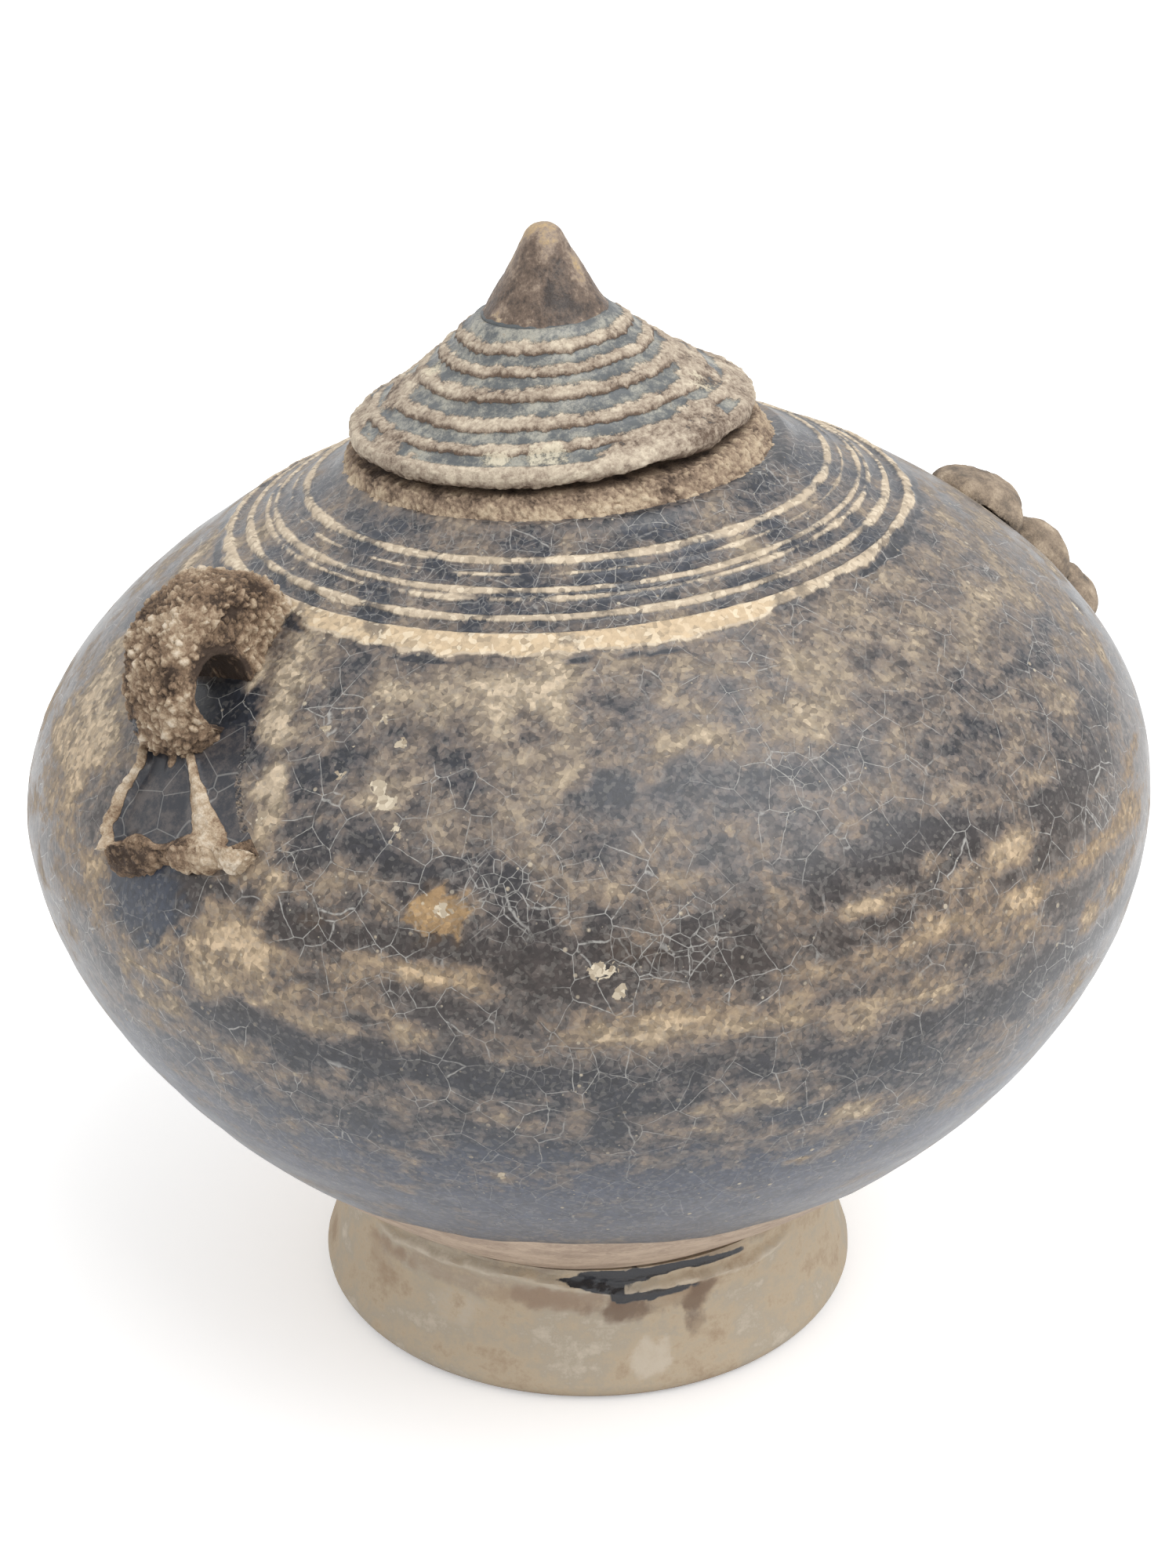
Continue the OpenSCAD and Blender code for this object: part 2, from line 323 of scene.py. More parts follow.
def makeBodyGlaze(name, look):
    material, shader, coords = startMaterial(name)
    wide = stretch(coords, 1, 1, look["flow"])
    flat = stretch(coords, 1, 1, look["squash"])
    wobble = put("TexNoise", {"Vector": coords, "Scale": look["bendScale"]}).outputs["Color"]
    bent = put("Mix", {0: look["bend"], 4: coords, 5: wobble}, data_type="VECTOR").outputs[1]
    bands = cloud(wide, look["band"], 3.0, 0.5)
    mottle = cloud(flat, look["mottle"], 5.0, 0.6)
    grain = cloud(coords, look["grain"], 2.0)
    clump = cellShade(bent, 2.4 * look["grain"])
    speckle = cellShade(bent, look["grain"])
    honey = own("honey")
    load = plus(own("tan"), vary((mottle, 1.7), (clump, 0.1), (speckle, 0.14)))
    streaks = times(vary((bands, 1.0)), scaled(honey, 1.6, 0.35))
    load = plus(load, streaks)
    # a pale bluish tint over the dark glaze: painted reflection of the floor and sky, with some milky bloom
    dark = tint(own("sheenAndBloom"), look["slate"], look["sheenAndBloom"])
    dark = tint(times(honey, 1.1, clamp=True), dark, look["umber"])
    colour = ramp(load, [
        (0.3, look["taupe"]), (0.42, look["taupe"]), (0.58, look["brown"]),
        (0.76, look["ochre"]), (0.9, look["tan"]), (1.0, look["pale"])])
    colour = put("Mix", {0: honey, 6: colour, 7: look["warm"]}, data_type="RGBA",
                 blend_type="MULTIPLY").outputs[2]
    gold = fade(plus(honey, vary((mottle, 1.4))), 0.75, 1.1)
    colour = tint(times(gold, 0.65), colour, look["honey"])
    colour = tint(fade(load, 0.26, 0.42), dark, colour)
    # grains lighter and darker, and grey dust in the pores
    shade = plus(1.0, vary((speckle, 0.5), (clump, 0.24), (grain, 0.6)))
    colour = brighten(colour, shade)
    dust = cellShade(bent, 0.7 * look["grain"], 1)
    colour = tint(times(fade(dust, 0.6, 1.0), 0.25), colour, look["veil"])
    crusted = fade(load, 0.45, 0.85)
    # fine crackle net, fading in and out, on the smooth glaze only
    straight = put("Mix", {0: 0.85, 4: coords, 5: bent}, data_type="VECTOR").outputs[1]
    net = cells(straight, look["crackleCell"], "DISTANCE_TO_EDGE").outputs[0]
    fine = cells(straight, look["crackleCell"] * 0.4, "DISTANCE_TO_EDGE").outputs[0]
    where = cloud(coords, look["crackleDrift"])
    crack = times(fade(net, 0.017, 0.004), fade(where, 0.38, 0.56))
    dense = plus(own("net"), fade(where, 0.56, 0.7), clamp=True)
    thin = times(fade(fine, 0.036, 0.008), dense)
    crack = most(crack, times(thin, 0.9))
    crack = times(crack, calc("SUBTRACT", 0.75, crusted), clamp=True)
    crack = times(crack, fade(grain, 0.2, 0.6))
    crack = times(crack, scaled(own("sheenAndBloom"), -0.7, 1.0))
    colour = tint(crack, colour, look["crackle"])
    # turned lines and the crust below them
    lineMark = own("line")
    lined = fade(plus(lineMark, vary((mottle, 1.3), (speckle, 0.12))), 0.3, 0.66)
    lineColour = tint(fade(lineMark, 0.75, 0.9), look["line"], look["crust"])
    for share, over in ((fade(mottle, 0.47, 0.38), "ochre"), (times(fade(clump, 0.55, 1.0), 0.4), "tan"),
                        (times(fade(speckle, 0.6, 1.0), 0.55), "cream"),
                        (times(fade(speckle, 0.2, 0.0), 0.4), "ochre")):
        lineColour = tint(share, lineColour, look[over])
    lineColour = brighten(lineColour, scaled(shade, 0.55, 0.45))
    colour = tint(lined, colour, lineColour)
    # chips and flecks of pale clay
    pale = patchy("cream", 0.46, 0.54, (mottle, 1.0), (grain, 0.4), (clump, 0.35), (speckle, 0.4))
    for size, strong in look["flecks"]:
        flecks = cells(coords, size)
        chance = put("SeparateColor", {0: flecks.outputs["Color"]}).outputs[0]
        fleck = fade(calc("DIVIDE", flecks.outputs["Distance"], chance), 0.18, 0.1)
        pale = most(pale, times(times(fleck, strong), fade(where, 0.35, 0.6)))
    colour = tint(pale, colour, tint(speckle, look["cream"], look["tan"]))
    # bare brown clay below the edge of the glaze
    bare = fade(own("bare"), 0.4, 0.6)
    clay = tint(fade(plus(mottle, vary((grain, 0.5), (clump, 0.12))), 0.25, 0.75),
                look["bareDark"], look["bareLight"])
    colour = tint(bare, colour, clay)
    rougher = most(most(crusted, lined), most(pale, bare))
    smooth = scaled(mottle, 0.3, look["roughGlaze"] - 0.15)
    rough = scaled(rougher, look["roughCrust"] - look["roughGlaze"], smooth)
    height = times(plus(grain, speckle), scaled(rougher, 0.9, 0.1))
    height = calc("SUBTRACT", height, times(crack, 0.4))
    finishMaterial(shader, colour, rough, height, look["bump"], 0.7)
    return material


# the pit and pale colours are partly painted shade in pits and painted light on raised grains
clayLook = dict(
    collar=dict(pit=paint(70, 56, 46), mid=paint(140, 120, 101), top=paint(182, 162, 137),
                pale=paint(202, 184, 158), grain=0.6 * mm, deep=0.22 * mm),
    head=dict(pit=paint(64, 50, 40), mid=paint(134, 111, 89), top=paint(180, 160, 135),
              pale=paint(212, 198, 178), grain=0.55 * mm, deep=0.25 * mm),
    tail=dict(pit=paint(92, 84, 76), mid=paint(132, 117, 101), top=paint(162, 145, 125),
              pale=paint(188, 172, 152), grain=0.7 * mm, deep=0.2 * mm),
)


def makeRoughClay(name, look):
    material, shader, coords = startMaterial(name)
    mottle = cloud(coords, 5 * look["grain"], 6.0, 0.8)
    fine = cloud(coords, 0.4 * look["grain"], 3.0, 0.7)
    # the mark is high on raised grains and low in pits and creases, so the pit to pale ramp paints light and
    # shade over the clay's own tone
    load = plus(own("toneAndShade"), vary((mottle, 1.6), (fine, 0.5)))
    colour = ramp(load, [(0.14, look["pit"]), (0.44, look["mid"]), (0.7, look["top"]), (0.95, look["pale"])])
    slick = patchy("glazed", 0.42, 0.58, (mottle, 1.2), (fine, 0.2))
    dark = tint(fade(mottle, 0.42, 0.62), glazeLook["slate"], glazeLook["taupe"])
    net = cells(coords, glazeLook["crackleCell"] * 1.3, "DISTANCE_TO_EDGE").outputs[0]
    dark = tint(times(fade(net, 0.016, 0.004), 0.3), dark, glazeLook["crackle"])
    colour = tint(slick, colour, dark)
    rough = scaled(slick, -0.55, 0.88)
    height = times(plus(fine, mottle), scaled(slick, -0.9, 1.0))
    finishMaterial(shader, colour, rough, height, look["deep"], 0.8)
    return material


# the brown also serves as painted shade at the foot's bottom edge and under the body
footLook = dict(
    clay=paint(182, 166, 143), grey=paint(172, 161, 144), warm=paint(162, 142, 119),
    smear=paint(146, 124, 105), brown=paint(112, 92, 77), black=paint(46, 47, 51), pale=paint(198, 187, 170),
    flow=2.4, drift=12 * mm, mottle=4 * mm, grain=0.35 * mm, bump=0.1 * mm,
)


def makeFootClay(name, look):
    material, shader, coords = startMaterial(name)
    wide = stretch(coords, 1, 1, look["flow"])
    cloudy = cloud(wide, look["drift"], 5.0, 0.65)
    mottle = cloud(coords, look["mottle"], 6.0, 0.75)
    fine = cloud(coords, look["grain"], 2.0)
    colour = ramp(plus(cloudy, vary((mottle, 0.7), (fine, 0.12))), [
        (0.3, look["warm"]), (0.47, look["clay"]), (0.6, look["grey"]), (0.75, look["pale"])])
    for layer, shade, low, high in (("smear", "smear", 0.1, 1.1), ("paleSpot", "pale", 0.15, 1.0),
                                    ("brown", "brown", 0.15, 1.0)):
        share = patchy(layer, low, high, (mottle, 1.4), (fine, 0.2))
        colour = tint(times(share, 0.85), colour, look[shade])
    slick = patchy("glazed", 0.3, 0.62, (mottle, 1.0), (fine, 0.2))
    colour = tint(slick, colour, look["black"])
    rough = scaled(slick, -0.55, 0.82)
    height = scaled(mottle, 0.8, fine)
    finishMaterial(shader, colour, rough, height, look["bump"], 0.6)
    return material


# the darkest brown of the ridges is partly painted shade under their lower edges
lidLook = dict(
    valley=paint(82, 86, 88), deposit=paint(164, 161, 149), crest=paint(163, 148, 131),
    upper=paint(206, 193, 172), brownAndShade=paint(94, 77, 64), cream=paint(212, 202, 178),
    mottle=3 * mm, grain=0.3 * mm, bump=0.18 * mm,
)


def makeLidGlaze(name, look):
    material, shader, coords = startMaterial(name)
    mottle = cloud(coords, look["mottle"], 6.0, 0.85)
    fine = cloud(coords, look["grain"], 3.0, 0.7)
    valley = tint(fade(mottle, 0.41, 0.66), look["valley"], look["deposit"])
    # tone falls on the lower side of each ridge, so the dark brown there is painted shade under the ridge's
    # edge, over its own brown
    crest = ramp(plus(own("tone"), vary((mottle, 2.2), (fine, 0.5))), [
        (0.1, look["brownAndShade"]), (0.45, look["crest"]), (0.85, look["upper"])])
    raised = patchy("line", 0.3, 0.66, (mottle, 2.6), (fine, 0.5))
    colour = tint(raised, valley, crest)
    chalk = patchy("cream", 0.42, 0.85, (mottle, 3.0), (fine, 0.8))
    colour = tint(times(chalk, 0.65), colour, look["cream"])
    rougher = most(raised, chalk)
    rough = scaled(rougher, 0.45, 0.4)
    height = times(plus(fine, mottle), scaled(rougher, 0.8, 0.2))
    finishMaterial(shader, colour, rough, height, look["bump"], 0.8)
    return material


knobLook = dict(
    dark=paint(52, 42, 36), brown=paint(104, 87, 74), tip=paint(142, 125, 109), ochre=paint(178, 152, 112),
    edge=paint(180, 160, 130), mottle=2.8 * mm, grain=0.4 * mm, bump=0.16 * mm,
)


def makeKnobGlaze(name, look):
    material, shader, coords = startMaterial(name)
    tall = stretch(coords, 1, 1, 0.6)
    mottle = cloud(tall, look["mottle"], 6.0, 0.7)
    fine = cloud(coords, look["grain"], 3.0, 0.7)
    load = plus(own("tan"), vary((mottle, 2.2), (fine, 0.7)))
    colour = ramp(load, [(0.08, look["dark"]), (0.42, look["brown"]),
                         (0.64, look["tip"]), (0.95, look["ochre"])])
    edged = patchy("line", 0.42, 0.6, (mottle, 1.6), (fine, 0.4))
    colour = tint(edged, colour, look["edge"])
    slick = patchy("glazed", 0.42, 0.58, (mottle, 0.8), (fine, 0.2))
    colour = tint(slick, colour, lidLook["valley"])
    rough = scaled(mottle, 0.4, 0.3)
    finishMaterial(shader, colour, rough, plus(fine, mottle), look["bump"], 0.7)
    return material


innerLook = dict(
    light=paint(178, 158, 130), dark=paint(142, 120, 96), ring=2.2 * mm, grain=0.5 * mm, bump=0.15 * mm,
)


def makeInnerClay(name, look):
    material, shader, coords = startMaterial(name)
    flat = stretch(coords, 0.15, 0.15, 1)
    rings = cloud(flat, look["ring"], 2.0)
    fine = cloud(coords, look["grain"], 3.0)
    colour = tint(plus(rings, vary((fine, 0.4))), look["dark"], look["light"])
    rough = scaled(fine, 0.15, 0.8)
    finishMaterial(shader, colour, rough, plus(rings, fine), look["bump"])
    return material


potGlaze = makeBodyGlaze("pot_glaze", glazeLook)
lidGlaze = makeLidGlaze("lid_glaze", lidLook)
knobGlaze = makeKnobGlaze("knob_glaze", knobLook)
collarClay = makeRoughClay("collar_clay", clayLook["collar"])
headClay = makeRoughClay("head_clay", clayLook["head"])
tailClay = makeRoughClay("tail_clay", clayLook["tail"])
footClay = makeFootClay("foot_clay", footLook)
innerClay = makeInnerClay("inner_clay", innerLook)
print("materials ready")


# the pot's body: one turned surface, split at the belt where the two halves were luted together

pot = dict(
    belt=57 * mm, wall=5.5 * mm, lean=3.6, leanTowards=142, shift=0.4 * mm, settle=6 * mm,
    bowlAngle=38.5, bowlReach=14.4 * mm, bowlFull=18.5 * mm, bowlFloor=18.3 * mm, floorReach=21.6 * mm,
    rise=33.6 * mm, seat=20.8 * mm, slope=26.5, reach=20 * mm, full=14.4 * mm, ceiling=28.7 * mm,
    neck=18.3 * mm, mouth=11.5 * mm, mouthRound=0.3 * mm, mouthShift=1 * mm, mouthTip=1.4,
    mouthEase=(19 * mm, 14 * mm), steps=480, row=0.62 * mm, fineRow=0.2 * mm, fineBelt=1.2 * mm,
    innerRow=4 * mm, glazeEdge=27 * mm, glazeWave=0.9 * mm, glazeThick=0.18 * mm,
    sheenAndBloomFrom=50 * mm, sheenAndBloomTo=38 * mm,
)
belt = pot["belt"]
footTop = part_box("foot")[1].z
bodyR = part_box("bowl")[1].x
footNeck = 25 * mm
leanDir = heading(pot["leanTowards"])
leanAxis = Vector((-leanDir.y, leanDir.x, 0))
beltPoint = Vector((0, 0, belt))


def leanTurn(share):
    return Matrix.Rotation(math.radians(pot["lean"]) * share, 3, leanAxis)


def leaned(place, share):
    return beltPoint + leanTurn(share) @ (place - beltPoint)


def alongDir(length, angle):
    return length * math.cos(math.radians(angle)), length * math.sin(math.radians(angle))


bx, bz = alongDir(pot["bowlReach"], pot["bowlAngle"])
bowlCurve = [(footNeck, footTop), (footNeck + bx, footTop + bz),
             (bodyR, belt - pot["bowlFull"]), (bodyR, belt)]
sx, sz = alongDir(pot["reach"], pot["slope"])
topZ = belt + pot["rise"]
shoulderCurve = [(bodyR, belt), (bodyR, belt + pot["full"]),
                 (pot["seat"] + sx, topZ - sz), (pot["seat"], topZ)]
innerR = bodyR - pot["wall"]

# turned lines round the top of the shoulder, by their distance from the axis
turned = dict(
    lines=[  # radius, half width, height, strength, how broken
        (24.7, 0.37, 0.26, 1.0, 0.2), (26.1, 0.17, 0.14, 0.75, 0.5), (27.7, 0.27, 0.24, 0.95, 0.25),
        (28.55, 0.22, 0.2, 0.85, 0.35), (30.3, 0.33, 0.26, 1.0, 0.2)],
    crust=(31.8, 33.7), crustHeight=0.22 * mm, valley=0.22 * mm, wander=0.22, inner=21.0,
    outer=34.6, front=226,
)

# marks of the glaze: angle in degrees, then height, half width and half height in millimetres, and amount
thinGlazeAndSheen = [
    (187, 82, 2, 2, 0.28), (188.8, 80.7, 2, 2, 0.28), (190.6, 79.2, 2, 2, 0.28),
    (192.2, 77.6, 2.1, 2, 0.3), (193, 76.2, 2, 1.6, 0.3), (196.6, 73.4, 1.6, 2.4, 0.5),
    # the wide patch at 163 degrees, on the left edge, is painted sheen
    (197, 63.6, 3.4, 2.6, 0.35), (201.4, 67, 1, 2.4, 0.4), (163, 67, 9, 8, 0.36),
    (198.1, 71.5, 1.3, 3, 0.3), (209.7, 74.4, 2.6, 2, 0.15), (218.4, 67.5, 3, 2.6, 0.5),
    (212.7, 67.1, 1.6, 1.2, 0.2), (219, 62.9, 5, 1.6, 0.2), (240.9, 59, 9, 1.8, 0.22),
    (265.3, 57.9, 7, 2.4, 0.2), (276, 67.3, 4, 1.8, 0.25), (263.8, 63.3, 3.6, 1.4, 0.25),
    (275.4, 62.8, 4, 1.6, 0.2), (289, 56.8, 5, 2, 0.2), (246.9, 50.2, 5, 2, 0.28),
    (256.9, 46.8, 3, 1.6, 0.3), (253.5, 41.2, 1.6, 0.7, 0.4), (223.6, 41.5, 1, 1.2, 0.35),
    (198, 60, 6, 3, 0.34), (188.4, 54.6, 7, 3.4, 0.32), (157.7, 72.8, 5, 4, 0.2), (167.5, 68.9, 4, 3, 0.2),
    (216.7, 81.2, 7, 2.6, 0.14), (227, 77.2, 6, 3, 0.06), (233, 72.1, 7, 3.6, 0.12),
    (241.7, 79.4, 8, 3.6, 0.12), (178.5, 66.3, 3, 4, 0.2), (209.7, 57.9, 8, 2, 0.16),
    (253.2, 55.7, 9, 1.6, 0.1), (185.6, 78.2, 0.6, 2.2, 0.5), (195.4, 66.6, 2.2, 1, 0.35),
    (200.4, 65, 1.1, 2, 0.3), (257.9, 66.6, 2, 1.2, 0.3), (266, 68.2, 2, 0.9, 0.3),
    (270, 62.3, 3, 1.2, 0.2), (250.5, 46.6, 2.4, 1.6, 0.25), (253.6, 49.4, 1.6, 0.7, 0.35),
]
darkPools = [
    (186.6, 62.4, 5.6, 4.2, 0.8), (209, 70.8, 5, 2.6, 0.2), (222, 70.5, 3.6, 2.2, 0.15),
    (228, 66, 5, 2, 0.18), (205, 64.5, 4, 2.4, 0.2), (246, 61.8, 6, 1.6, 0.12), (258, 52, 14, 2.4, 0.15),
    (222, 53, 16, 3, 0.12), (268, 70, 8, 3, 0.15), (184, 76, 4, 5, 0.5), (215, 77.5, 3, 1.8, 0.15),
    (233, 76, 3.4, 2, 0.15),
]
paleChips = [
    (209, 74.7, 0.8, 0.8, 0.8), (210.6, 74, 1.2, 0.9, 0.8), (199.7, 77.4, 0.8, 0.7, 0.9),
    (212.6, 72.5, 0.8, 0.7, 0.6), (218.6, 67.6, 1, 0.8, 0.7), (212.7, 67.1, 0.7, 0.6, 0.6),
    (233.2, 63.9, 1.4, 0.9, 1), (234.6, 62.2, 0.7, 0.8, 1), (253.5, 41.2, 0.9, 0.4, 0.7),
    (223.6, 41.7, 0.5, 0.6, 0.8), (262, 48.5, 0.5, 0.5, 0.7), (197, 71, 0.7, 0.7, 0.6),
    (209.9, 77.4, 0.7, 0.6, 0.8), (203.9, 76.8, 0.6, 0.5, 0.7), (206.6, 78.6, 0.5, 0.6, 0.7),
    (204, 74.9, 0.7, 0.6, 0.7), (231.8, 73.2, 0.6, 0.5, 0.6),
]
fineNets = [
    (225, 69.5, 6, 4.5, 0.9), (240, 66, 6, 4, 0.6), (262, 64, 6, 4, 0.5), (232, 56, 9, 3, 0.5),
]
honeyRings = [
    (218.4, 67.5, 3.2, 2.8, 1), (219, 62.9, 4, 1.6, 0.15), (240.9, 60, 6, 1.4, 0.1),
    (206, 65.2, 1.6, 1, 0.3), (236, 65.8, 3.4, 1.6, 0.25),
]
wheelBands = [  # height, half height, amount, as left by the wheel
    (81, 6, 0.2), (74, 5, 0.04), (65.4, 1.7, -0.26), (62.4, 1.2, 0.09), (58.9, 1.9, 0.08), (54.4, 2.4, -0.35),
    (50, 1.4, 0.1),
]


def bandLoad(height, turn):
    # how much brown the glaze shows at a height
    height += 0.9 * roundNoise(turn, 2.4, 0.04 * height)
    load = 0.42 - 0.12 * ease(53, 47, height) - 0.14 * ease(46, 36, height)
    for i, (middle, half, amount) in enumerate(wheelBands):
        load += amount * (0.75 + 0.7 * roundNoise(turn, 3, 5.0 * i)) * hump(height - middle, half)
    return load + 0.08 * hump(turnGap(turn, 165), 45) + 0.05 * hump(turnGap(turn, 275), 45)


def scatter(bm, marks, ragged=0.3):
    # paints patches on layers, each round the point where a ray from its side meets the surface
    bm.normal_update()
    verts = list(bm.verts)
    surface, tree = BVHTree.FromBMesh(bm), KDTree(len(verts))
    for i, v in enumerate(verts):
        tree.insert(v.co, i)
    tree.balance()
    for layer, sign, places in marks:
        for turn, height, wide, tall, amount in places:
            out = heading(turn)
            hit, normal = surface.ray_cast(Vector((0, 0, height * mm)) + out * 0.1, -out)[:2]
            if hit is None:
                continue
            across = Vector((-out.y, out.x, 0))
            down = normal.cross(across)
            for co, i, gap in tree.find_range(hit, 1.6 * max(wide, tall) * mm):
                d = co - hit
                near = math.hypot(d.dot(across) / (wide * mm), d.dot(down) / (tall * mm))
                near += 0.3 * grit(co, 1.6) + ragged * grit(co, 0.5, 2)
                verts[i][layer] += sign * amount * ease(1.15, 0.55, near)


def lineShare(radius, turn):
    # (height, strength) of the turned lines at a distance from the axis
    x = radius / mm + turned["wander"] * roundNoise(turn, 1.3, radius * 90)
    rise, mark = 0.0, 0.0
    for i, (middle, half, high, strong, broken) in enumerate(turned["lines"]):
        keep = 1 - broken * ease(-0.05, 0.35, roundNoise(turn, 6, 7.0 * i))
        thick = half * (1 + 0.35 * roundNoise(turn, 2.5, 3.0 * i))
        rise = max(rise, high * keep * math.exp(-((x - middle) / thick) ** 2))
        mark = max(mark, strong * keep * ease(2.1 * thick, 0.5 * thick, abs(x - middle)))
    return rise * mm, mark


def dressLines(v, p, radius, turn, line, tan, sheenAndBloom, net):
    # turned lines and crust round the top of the shoulder; gives how far they stand out
    low, high = turned["crust"]
    r = radius / mm
    raised, mark = lineShare(radius, turn)
    ragged = 0.5 * grit(p, 2.2) + 0.25 * grit(p, 9, 2)
    front = ease(0.0, 0.5, hump(turnGap(turn, turned["front"]), 60))  # the crust is widest there
    edge = low + 0.7 + (high - low - 0.7) * front
    inCrust = hump(ease(low - 0.3, low + 0.2, r + 0.2 * ragged) - 1, 1)
    inCrust *= ease(edge + 0.5, edge - 0.2, r + ragged)
    zone = ease(turned["inner"], turned["inner"] + 1.5, r) * ease(low + 0.2, low - 0.4, r)
    # a dark band just under the crust's lower edge: painted shadow of its undercut
    below = hump(r + ragged - edge - 0.8, 0.6) * ease(0.0, 0.4, grit(p, 6, 2) + 0.5 * (1 - front))
    v[line] = max(0.72 * mark * zone, (0.78 + 0.17 * front) * inCrust)
    v[tan] -= 0.06 * zone + 0.7 * below
    # a little of the pale bluish tint between the lines: painted reflection, with some bloom
    v[sheenAndBloom], v[net] = 0.25 * zone, 0.6 * zone
    crust = turned["crustHeight"] + 0.09 * mm * grit(p, 0.8)
    return raised * zone - turned["valley"] * zone + inCrust * crust


def dressBody(bm):
    out, skin, tan, line, cream, bare, sheenAndBloom, net, honey = turnedLayers(
        bm, "tan", "line", "cream", "bare", "sheenAndBloom", "net", "honey")
    for v in bm.verts:
        radius, height, turn = math.hypot(v.co.x, v.co.y), v.co.z, turnOf(v.co)
        share = ease(belt - pot["settle"], belt + pot["settle"], height)
        normal = leanTurn(share) @ outwards(v, out)
        inMouth = ease(*pot["mouthEase"], radius) if height > belt else 0.0
        rise = (height - belt) / pot["rise"]
        bulge = pot["shift"] * max(0.0, 4 * rise * (1 - rise)) if v[skin] else 0.0
        v.co = leaned(v.co, share) + leanDir * (bulge + inMouth * pot["mouthShift"])
        if not v[skin]:
            v[tan] = 0.2
            continue
        p, z = v.co.copy(), v.co.z / mm
        lift = 0.16 * mm * grit(p, 26, 2) + 0.035 * mm * grit(p, 5, 3)
        lift += 0.05 * mm * noise.noise(Vector((p.x * 12, p.y * 12, p.z / (1.9 * mm))))
        v[tan] = bandLoad(z, turn) + 0.14 * grit(Vector((p.x, p.y, p.z * 2.2)), 16)
        v[honey] = 0.46 * hump(z - 63, 12) + 0.16 * hump(z - 64, 16) * hump(turnGap(turn, 285), 50)
        if height > belt and radius < turned["outer"] * mm:
            lift += dressLines(v, p, radius, turn, line, tan, sheenAndBloom, net)
        # the pale bluish tint grows towards the bottom: painted reflection of the floor, with some milky
        # bloom
        v[sheenAndBloom] = max(v[sheenAndBloom], ease(pot["sheenAndBloomFrom"], pot["sheenAndBloomTo"], p.z + 6 * mm * grit(p, 14, 2)))
        edge = pot["glazeEdge"] + pot["glazeWave"] * grit(p, 9, 3)
        v[bare] = ease(edge + 0.5 * mm, edge - 0.5 * mm, p.z)
        v.co += normal * (lift - pot["glazeThick"] * v[bare])
    # the first dark pool gets the pale bluish tint as well: painted reflection, with some bloom
    scatter(bm, [(tan, 1.0, thinGlazeAndSheen), (tan, -1.0, darkPools), (cream, 1.0, paleChips), (net, 1.0, fineNets),
                 (honey, 1.0, honeyRings), (honey, -0.8, darkPools[:1]), (sheenAndBloom, 0.7, darkPools[:1]),
                 (tan, 1.0, backPatches), (cream, 1.0, backChips)])
    for v in bm.verts:
        if v[skin]:
            crusty = ease(0.5, 0.95, v[tan]) * (1 - v[line])
            raised = 0.05 * mm * crusty * (1 + grit(v.co, 0.9))
            v.co += v.normal * (raised - 0.16 * mm * ease(0.3, 0.8, v[cream]))
    for face in bm.faces:
        face.material_index = 0 if any(v[skin] for v in face.verts) else 1


def strewn(count, *sizes):
    # marks of the same kind for the back, placed by dice
    limits = [(300, 505), (38, 82), *sizes]
    rows = [[dice.uniform(*limit) for limit in limits] for i in range(count)]
    return [(turn % 360, *rest) for turn, *rest in rows]


backPatches = strewn(34, (1.5, 7), (1, 3), (0.1, 0.3))
backChips = strewn(14, (0.5, 1.3), (0.4, 1.0), (0.6, 1.0))


def bowlStep(p):
    return pot["fineRow"] if p.z > belt - pot["fineBelt"] else pot["row"]


def shoulderStep(p):
    return pot["fineRow"] if p.z < belt + pot["fineBelt"] or p.x < turned["outer"] * mm else pot["row"]


def innerStep(p):
    return pot["innerRow"]


def makeBowl():
    low = pot["bowlFloor"]
    innerCurve = [(pot["floorReach"], low), (pot["floorReach"] + bx, low + bz),
                  (innerR, belt - pot["bowlFull"]), (innerR, belt)]
    base = plain([(0, footTop), (0.5 * footNeck, footTop)])
    floor = plain([(0.5 * pot["floorReach"], low), (0, low)])
    rows = base + walk(bowlCurve, bowlStep) + walk(innerCurve, innerStep, 0)[::-1] + floor
    bm = spinRows(rows, pot["steps"])
    dressBody(bm)
    finishPiece("bowl_glazed", bm, "pot", "bowl", [potGlaze, innerClay], 50)


def makeShoulder():
    under, edge = belt + pot["ceiling"], pot["mouth"] + pot["mouthRound"]
    innerCurve = [(pot["neck"], under), (pot["neck"] + sx, under - sz),
                  (innerR, belt + pot["full"]), (innerR, belt)]
    top = plain([(0.5 * (pot["seat"] + pot["mouth"]), topZ), (edge, topZ), (edge, under),
                 (pot["neck"], under)])
    rows = walk(shoulderCurve, shoulderStep) + top + walk(innerCurve, innerStep, 0)[1:]
    bm = spinRows(rows + rows[:1], pot["steps"])
    dressBody(bm)
    return finishPiece("shoulder_glazed", bm, "pot", "shoulder", [potGlaze, innerClay], 50)


def surfaceOf(piece):
    bm = bmesh.new()
    bm.from_mesh(piece.data)
    found = BVHTree.FromBMesh(bm)
    bm.free()
    return found


makeBowl()
wall = surfaceOf(makeShoulder())
print("body turned")


# the foot, with a lip of clay and glaze caught in the crease above it

